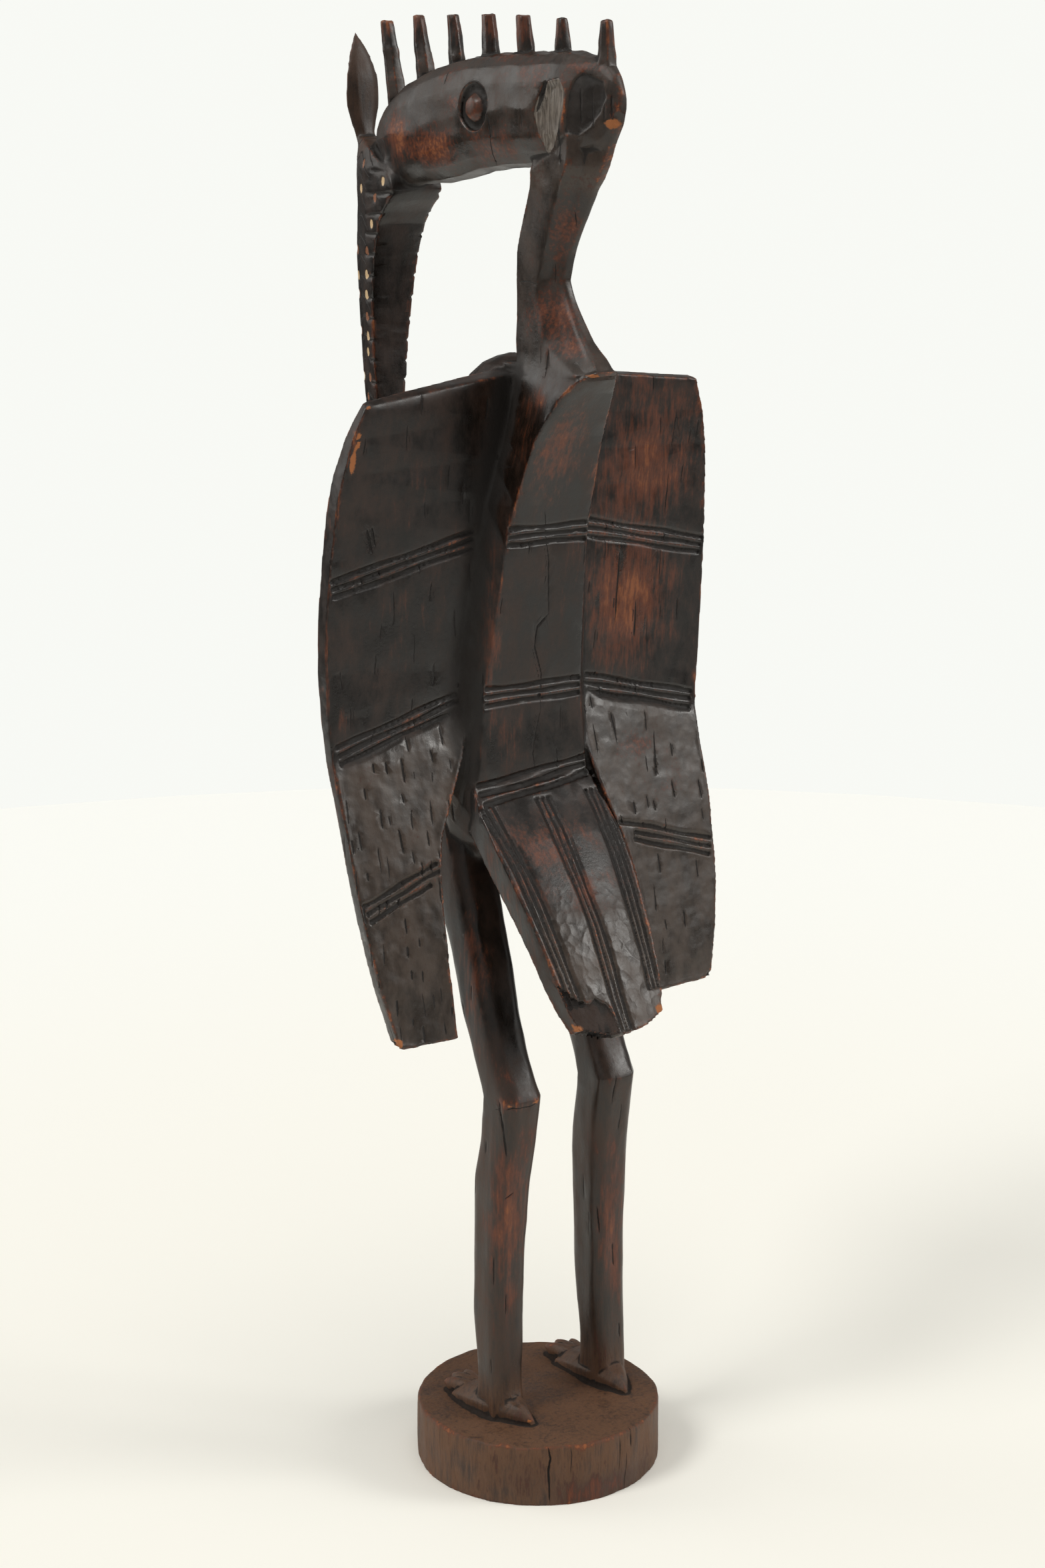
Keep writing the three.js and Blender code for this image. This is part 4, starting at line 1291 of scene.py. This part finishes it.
class FinishTree:
    """A small helper that lays out a finish's nodes."""

    def __init__(self, name: str) -> None:
        """Starts an empty material.

        Args:
            name: The material's name.
        """
        self.material = bpy.data.materials.new(name)
        self.material.use_nodes = True
        self.tree = self.material.node_tree
        self.shader = self.tree.nodes["Principled BSDF"]

    def node(self, kind: str, feeds: dict[str | int, object], **settings: object) -> bpy.types.Node:
        """A new node.

        Args:
            kind: Its type.
            feeds: What goes into its inputs, by name or number.
            settings: Its properties.

        Returns:
            The node.
        """
        made = self.tree.nodes.new(kind)
        for name, value in settings.items():
            setattr(made, name, value)
        for name, value in feeds.items():
            self.feed(made.inputs[name], value)
        return made

    def feed(self, socket: Socket, value: object) -> None:
        """Links an output into a socket, or sets a constant there.

        Args:
            socket: The input.
            value: An output socket, a number, a vector or a colour.
        """
        if isinstance(value, Socket):
            self.tree.links.new(value, socket)
        else:
            socket.default_value = (*value, 1.0) if socket.type == "RGBA" else value

    def coordinates(self) -> Socket:
        """The piece's own coordinates, in metres."""
        return self.node("ShaderNodeTexCoord", {}).outputs["Object"]

    def attribute(self, paint: Paint) -> Socket:
        """One painted number."""
        return self.node("ShaderNodeAttribute", {}, attribute_name=paint.value).outputs["Fac"]

    def stretched(self, source: Socket, stretch: Triple) -> Socket:
        """Coordinates scaled along each axis."""
        return self.node("ShaderNodeMapping", {"Vector": source, "Scale": stretch}).outputs["Vector"]

    def warped(self, source: Socket, scale: float, amount: float) -> Socket:
        """Coordinates pushed about by noise, which makes patterns on them less even.

        Args:
            source: The coordinates.
            scale: Waves to the metre.
            amount: How far, in metres.

        Returns:
            The changed coordinates.
        """
        push = self.node("ShaderNodeTexNoise", {"Vector": source, "Scale": scale})
        feeds = {0: push.outputs["Color"], 1: (amount, amount, amount), 2: source}
        return self.node("ShaderNodeVectorMath", feeds, operation="MULTIPLY_ADD").outputs["Vector"]

    def noise(self, source: Socket, noise: Noise) -> Socket:
        """Noise, stretched along the grain.

        Args:
            source: The coordinates.
            noise: The pattern.

        Returns:
            The noise's number.
        """
        vector = self.stretched(source, noise.stretch)
        feeds = {"Vector": vector, "Scale": noise.scale, "Detail": noise.octaves, "Roughness": noise.rough}
        return self.node("ShaderNodeTexNoise", feeds).outputs["Fac"]

    def cells(self, source: Socket, stretch: Triple, scale: float, soft: float) -> Socket:
        """Round bowls that rise to soft borders.

        Args:
            source: The coordinates.
            stretch: Scale along each axis; less is longer.
            scale: Cells to the metre.
            soft: How much the borders are rounded.

        Returns:
            Their height, 0 in the middle of each bowl.
        """
        feeds = {"Vector": self.stretched(source, stretch), "Scale": scale, "Smoothness": soft}
        distance = self.node("ShaderNodeTexVoronoi", feeds, feature="SMOOTH_F1").outputs["Distance"]
        return self.times(distance, distance)

    def math(self, operation: str, a: object, b: object) -> Socket:
        """One arithmetic step, under Blender's name of it, on two values."""
        return self.node("ShaderNodeMath", {0: a, 1: b}, operation=operation).outputs["Value"]

    def times(self, a: object, b: object) -> Socket:
        """The product of two values."""
        return self.math("MULTIPLY", a, b)

    def total(self, *parts: tuple[object, float], plus: float = 0.0) -> Socket:
        """A sum of values, each times its weight.

        Args:
            parts: Each value with its weight.
            plus: A number added at the end.

        Returns:
            The sum.
        """
        made = self.times(*parts[0])
        for part in parts[1:]:
            made = self.math("ADD", made, self.times(*part))
        return self.math("ADD", made, plus)

    def highest(self, first: object, *others: object) -> Socket:
        """The highest of several values at each place."""
        for other in others:
            first = self.math("MAXIMUM", first, other)
        return first

    def line(self, value: object, half_width: float, soft: float) -> Socket:
        """A soft line of 1 where a value is near 0."""
        return self.spread(self.math("ABSOLUTE", value, 0), (half_width + soft / 2, half_width - soft / 2))

    def repeated(self, paint: Paint, waver: Socket, half_width: float) -> Socket:
        """A wavering line wherever a painted count of lines passes a whole number."""
        count = self.total((self.attribute(paint), 1), (waver, 0.16))
        return self.line(self.math("SUBTRACT", self.math("FRACT", count, 0), 0.5), half_width, half_width)

    def spread(self, value: object, step: Step, results: Step = (0.0, 1.0)) -> Socket:
        """A smooth step of a value, clamped.

        Args:
            value: The value.
            step: Where the step starts and ends.
            results: The results there.

        Returns:
            The result.
        """
        ends = zip(("From Min", "From Max", "To Min", "To Max"), (*step, *results))
        feeds = {"Value": value, **dict(ends)}
        return self.node("ShaderNodeMapRange", feeds, interpolation_type="SMOOTHSTEP").outputs["Result"]

    def blend(self, amount: object, a: object, b: object) -> Socket:
        """A mix of two colours, the first at 0 and the second at 1."""
        first, second, result = 6, 7, 2
        return self.node("ShaderNodeMix", {0: amount, first: a, second: b}, data_type="RGBA").outputs[result]


@dataclass(frozen=True)
class WaxedWood:
    """Very dark wood, waxed and smoked black, red-brown where it is rubbed and orange where it is broken. Painted
    shade darkens its grooves, hollows and the deep corner by the left wing, and a painted sheen, a paler grey,
    lies where light is reflected.

    Each Step says where a tone starts and where it is full, in the noise, wear or distance that it follows.
    """

    black: Triple = (0.0060, 0.0036, 0.0023)
    brown: Triple = (0.024, 0.0105, 0.0056)
    # painted sheen: a paler grey that stands in for reflected light
    sheen_grey: Triple = (0.058, 0.0400, 0.0285)
    warm: Triple = (0.036, 0.0125, 0.0060)
    rubbed: Triple = (0.098, 0.0240, 0.0076)
    amber: Triple = (0.260, 0.0780, 0.0200)
    bare: Triple = (0.34, 0.120, 0.038)
    plinth: Triple = (0.104, 0.0460, 0.0195)
    # partly the torn fibres' own grey and partly a painted highlight, lighter than the wood to stand in for
    # reflected light
    torn_grey_and_highlight: Triple = (0.260, 0.2250, 0.1900)
    light_spot: Triple = (0.66, 0.47, 0.27)
    brown_spot: Triple = (0.24, 0.095, 0.045)
    cloud: Noise = Noise((1, 1, 0.6), 9, 3, 0.5)
    mottle: Noise = Noise((1, 1, 0.55), 34, 8, 0.68)
    streak: Noise = Noise((1, 1, 0.12), 230, 7, 0.72)
    fibre: Noise = Noise((1, 1, 0.05), 620, 3, 0.5)
    fine: Noise = Noise((1, 1, 1), 240, 4, 0.6)
    swell: Noise = Noise((1, 1, 0.95), 62, 1, 0.4)
    brown_mottle: Step = (0.38, 0.68)
    sheen_grey_mottle: Step = (0.34, 0.66)
    plinth_soil: Step = (0.32, 0.56)
    warm_wear: Step = (0.70, 0.90)
    rubbed_wear: Step = (0.80, 1.04)
    amber_wear: Step = (1.00, 1.24)
    rubbed_edge: Step = (0.80, 1.06)
    amber_edge: Step = (0.98, 1.14)
    facet_border: Step = (-0.4, 0.6)
    break_border: Step = (-0.4, 0.8)
    torn_hairs: Step = (0.30, 0.72)
    boss_border: Step = (15.5, 13.5)
    boss_speckle: Step = (0.35, 0.65)
    # how the painted shade in grooves and hollows rises to black
    hollow_shade_depth: Step = (0.10, 0.75)
    split_border: Step = (0.25, -0.15)
    chip_border: Step = (0.88, 1.02)
    spot_border: Step = (1.32, 1.12)
    gloss_mottle: Step = (0.40, 0.78)
    gloss: Step = (0.24, 0.50)
    eye_lines: tuple[Triple, ...] = ((19.5, 3.4, 1.4), (25.0, 0.7, 0.6))
    scale_half: float = 0.05
    net_half: float = 0.07
    bowl_warp: Step = (70, 0.008)
    bowl_stretch: Triple = (1, 1, 0.8)
    bowls_to_metre: float = 100.0
    bowl_soft: float = 0.3
    ior: float = 1.5

    def build(self) -> bpy.types.Material:
        """Makes the node material.

        Returns:
            The material.
        """
        tree = FinishTree("waxed_dark_wood")
        coat, paint = tree.coordinates(), {paint: tree.attribute(paint) for paint in Paint}
        noises = (self.cloud, self.mottle, self.streak, self.fibre, self.fine, self.swell)
        cloud, mottle, streak, fibre, fine, swell = (tree.noise(coat, noise) for noise in noises)

        # fine grain is mixed in where the painted sheen lies
        speckled = tree.math("MINIMUM", tree.times(paint[Paint.PALE_SHEEN], 1.8), 0.9)
        strand = tree.total((streak, 1), (tree.times(speckled, tree.math("SUBTRACT", fine, streak)), 1))
        grain = tree.total((strand, 1), (mottle, 0.9), plus=-0.40)
        worn = tree.total((paint[Paint.WEAR], 0.45), (grain, 1))
        edge = tree.total((paint[Paint.ARRIS], 0.40), (grain, 1))
        soil = tree.total((mottle, 0.45), (streak, 0.55))
        chips = tree.total((paint[Paint.RAW], 0.62), (fine, 0.35), (mottle, 0.75))
        spots = tree.total((paint[Paint.SPOT], 1), (fine, 0.35))

        torn, flat = (tree.spread(paint[facet], self.facet_border) for facet in (Paint.TORN, Paint.FLAT))
        broken = tree.spread(paint[Paint.BROKEN], self.break_border)
        boss = tree.spread(paint[Paint.EYE], self.boss_border)
        rings = [
            tree.line(tree.math("SUBTRACT", paint[Paint.EYE], radius), half_width, soft)
            for radius, half_width, soft in self.eye_lines
        ]
        net = tree.highest(*(tree.repeated(way, fine, self.net_half) for way in (Paint.NET_UP, Paint.NET_DOWN)))
        lines = tree.highest(
            tree.times(paint[Paint.CLASP], tree.repeated(Paint.SCALES, fine, self.scale_half)),
            tree.times(paint[Paint.CHEST], net),
        )
        across = tree.math("ABSOLUTE", tree.total((paint[Paint.SPLIT], 1), (fine, 1.2), plus=-0.6), 0)
        split = tree.spread(tree.math("SUBTRACT", across, paint[Paint.SPLIT_WIDTH]), self.split_border)
        # painted shade in grooves, hollows and the deep corner
        hollow = tree.spread(paint[Paint.HOLLOW], self.hollow_shade_depth)
        # dark holds the painted shade, with the eye's dark rings and the cut lines
        dark = tree.highest(tree.times(hollow, 0.9), tree.times(tree.highest(*rings), 0.85), lines)
        chip = tree.spread(chips, self.chip_border)

        tone = tree.blend(tree.spread(mottle, self.brown_mottle), self.black, self.brown)
        for where, cover, colour in (
            # painted sheen: the paler grey where light is reflected
            (paint[Paint.PALE_SHEEN], tree.spread(mottle, self.sheen_grey_mottle, (0.35, 1.0)), self.sheen_grey),
            (paint[Paint.MATTE], 1.0, tree.blend(tree.spread(soil, self.plinth_soil), self.brown, self.plinth)),
            (tree.spread(worn, self.warm_wear), 1.0, self.warm),
            (tree.spread(worn, self.rubbed_wear), 1.0, self.rubbed),
            (tree.spread(worn, self.amber_wear), 0.8, self.amber),
            (tree.spread(edge, self.rubbed_edge), 0.8, self.rubbed),
            (tree.spread(edge, self.amber_edge), 0.8, self.amber),
            # torn facet: grey fibres with a painted highlight
            (tree.times(torn, tree.spread(fibre, self.torn_hairs, (0.25, 1.0))), 0.85, self.torn_grey_and_highlight),
            (flat, 0.75, self.black),
            (broken, 0.85, self.brown),
            (boss, tree.spread(fine, self.boss_speckle, (0.2, 0.7)), self.rubbed),
            (dark, 1.0, self.black),
            (chip, 1.0, self.bare),
            (split, 0.92, self.black),
            (
                tree.spread(spots, self.spot_border), 1.0,
                tree.blend(paint[Paint.SPOT_TONE], self.brown_spot, self.light_spot),
            ),
        ):
            tone = tree.blend(tree.times(where, cover), tone, colour)

        dull = tree.highest(chip, broken, dark, split)
        waxed = tree.spread(tree.total((mottle, 0.8), (cloud, 0.4)), self.gloss_mottle, self.gloss)
        bowl = tree.cells(
            tree.warped(coat, *self.bowl_warp), self.bowl_stretch, self.bowls_to_metre, self.bowl_soft
        )
        height = tree.total(
            (fibre, 0.05),
            (fine, 0.16),
            (tree.times(paint[Paint.DIMPLE], bowl), 1.0),
            (tree.times(paint[Paint.SHEEN], swell), 1.7),
            (tree.times(paint[Paint.MATTE], streak), 0.9),
            (tree.times(torn, fibre), 0.6),
            (tree.times(broken, fine), 1.4),
            (tree.highest(split, tree.times(lines, 0.5)), -0.9),
        )
        bump = tree.node("ShaderNodeBump", {"Height": height, "Strength": 1.0, "Distance": MM})
        for socket, value in (
            ("Base Color", tone),
            ("Roughness", tree.total((waxed, 1), (paint[Paint.MATTE], 0.28), (dull, 0.40))),
            ("Normal", bump.outputs["Normal"]),
            ("IOR", self.ior),
        ):
            tree.feed(tree.shader.inputs[socket], value)
        return tree.material


@dataclass(frozen=True)
class SoftSun:
    """One large soft lamp far away."""

    name: str
    azimuth: float
    elevation: float
    strength: float
    spread: float

    def build(self, tone: Triple) -> None:
        """Hangs the lamp.

        Args:
            tone: Its colour.
        """
        lamp = bpy.data.lights.new(self.name, "SUN")
        lamp.color = tone
        lamp.energy = self.strength
        lamp.angle = math.radians(self.spread)
        holder = bpy.data.objects.new(self.name, lamp)
        around, up = math.radians(self.azimuth), math.radians(self.elevation)
        level = math.cos(up)
        towards = Vector((math.sin(around) * level, -math.cos(around) * level, math.sin(up)))
        holder.rotation_mode = "QUATERNION"
        holder.rotation_quaternion = towards.to_track_quat("Z", "Y")
        bpy.context.scene.collection.objects.link(holder)


@dataclass(frozen=True)
class Studio:
    """A plain pale floor, soft light and the camera at the height of the bird's head."""

    floor_radius: float = 3.0
    floor_fade: Step = (0.5, 2.7)
    floor_roughness: float = 0.8
    floor_drop: float = 0.2
    floor_tone: Triple = (0.915, 0.908, 0.850)
    floor_rim_tone: Triple = (0.925, 0.940, 0.915)
    wall_tone: Triple = (0.94, 0.95, 0.91)
    sky_tone: Triple = (0.95, 0.94, 0.91)
    sky_strength: float = 0.10
    lamp_tone: Triple = (1.0, 0.98, 0.94)
    camera_azimuth: float = 142.85
    camera_distance: float = 2.888
    camera_height: float = 1.454
    camera_pitch: float = 13.85
    camera_yaw: float = 0.336
    lens: float = 66.75
    lamps: tuple[SoftSun, ...] = (
        SoftSun("dome", 0, 90, 0.8, 180),
        SoftSun("window_left", 37, 19, 0.6, 38),
        SoftSun("window_right", 224, 18, 0.5, 40),
        SoftSun("lamp_left", 88, 46, 1.2, 20),
        SoftSun("lamp_right", 229, 29, 0.8, 20),
        SoftSun("lamp_top", 165, 78, 0.7, 36),
    )

    def floor(self) -> None:
        """Lays the floor."""
        disc = bmesh.new()
        bmesh.ops.create_circle(disc, cap_ends=True, segments=64, radius=self.floor_radius)
        mesh = bpy.data.meshes.new("floor")
        disc.to_mesh(mesh)
        disc.free()
        ground = bpy.data.objects.new("floor", mesh)
        ground.location.z = -self.floor_drop * MM
        tree = FinishTree("pale_floor")
        away = tree.node("ShaderNodeVectorMath", {0: tree.coordinates()}, operation="LENGTH")
        fade = tree.spread(away.outputs["Value"], self.floor_fade)
        tree.feed(tree.shader.inputs["Base Color"], tree.blend(fade, self.floor_tone, self.floor_rim_tone))
        tree.feed(tree.shader.inputs["Roughness"], self.floor_roughness)
        mesh.materials.append(tree.material)
        bpy.context.scene.collection.objects.link(ground)

    def light(self) -> None:
        """Lights the room evenly, with the lamps on top."""
        world = bpy.data.worlds.new("studio")
        world.use_nodes = True
        nodes, links = world.node_tree.nodes, world.node_tree.links
        sky = nodes["Background"]
        sky.inputs["Color"].default_value = (*self.sky_tone, 1.0)
        sky.inputs["Strength"].default_value = self.sky_strength
        wall = nodes.new("ShaderNodeBackground")
        wall.inputs["Color"].default_value = (*self.wall_tone, 1.0)
        seen = nodes.new("ShaderNodeMixShader")
        links.new(nodes.new("ShaderNodeLightPath").outputs["Is Camera Ray"], seen.inputs["Fac"])
        links.new(sky.outputs["Background"], seen.inputs[1])
        links.new(wall.outputs["Background"], seen.inputs[2])
        links.new(seen.outputs["Shader"], nodes["World Output"].inputs["Surface"])
        bpy.context.scene.world = world
        for lamp in self.lamps:
            lamp.build(self.lamp_tone)

    def camera(self) -> None:
        """Sets the camera up behind the bird's left side."""
        azimuth, pitch, yaw = (
            math.radians(angle) for angle in (self.camera_azimuth, self.camera_pitch, self.camera_yaw)
        )
        outward = Vector((math.sin(azimuth), -math.cos(azimuth), 0))
        heading = Euler((0, 0, yaw)).to_matrix() @ -outward
        look = heading * math.cos(pitch) - Vector((0, 0, math.sin(pitch)))
        lens = bpy.data.cameras.new("camera")
        lens.lens = self.lens
        eye = bpy.data.objects.new("camera", lens)
        eye.location = outward * self.camera_distance + Vector((0, 0, self.camera_height))
        eye.rotation_mode = "QUATERNION"
        eye.rotation_quaternion = look.to_track_quat("-Z", "Y")
        bpy.context.scene.collection.objects.link(eye)
        bpy.context.scene.camera = eye

    def build(self) -> None:
        """Sets up the whole studio."""
        bpy.context.scene.view_settings.view_transform = "Standard"
        self.floor()
        self.light()
        self.camera()


def main() -> None:
    """Builds the studio and the bird."""
    logging.basicConfig(level=logging.INFO)
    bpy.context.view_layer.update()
    Studio().build()
    log.info("studio is set up")
    bird = CarvedBird()
    piece = bird.build()
    SurfacePaint(piece, bird.cuts).apply()
    piece.data.materials.clear()
    piece.data.materials.append(WaxedWood().build())
    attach(piece, BODY)
    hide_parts(NODE)
    log.info("%s has %d triangles", piece.name, len(piece.data.polygons))


if __name__ == "__main__":
    main()
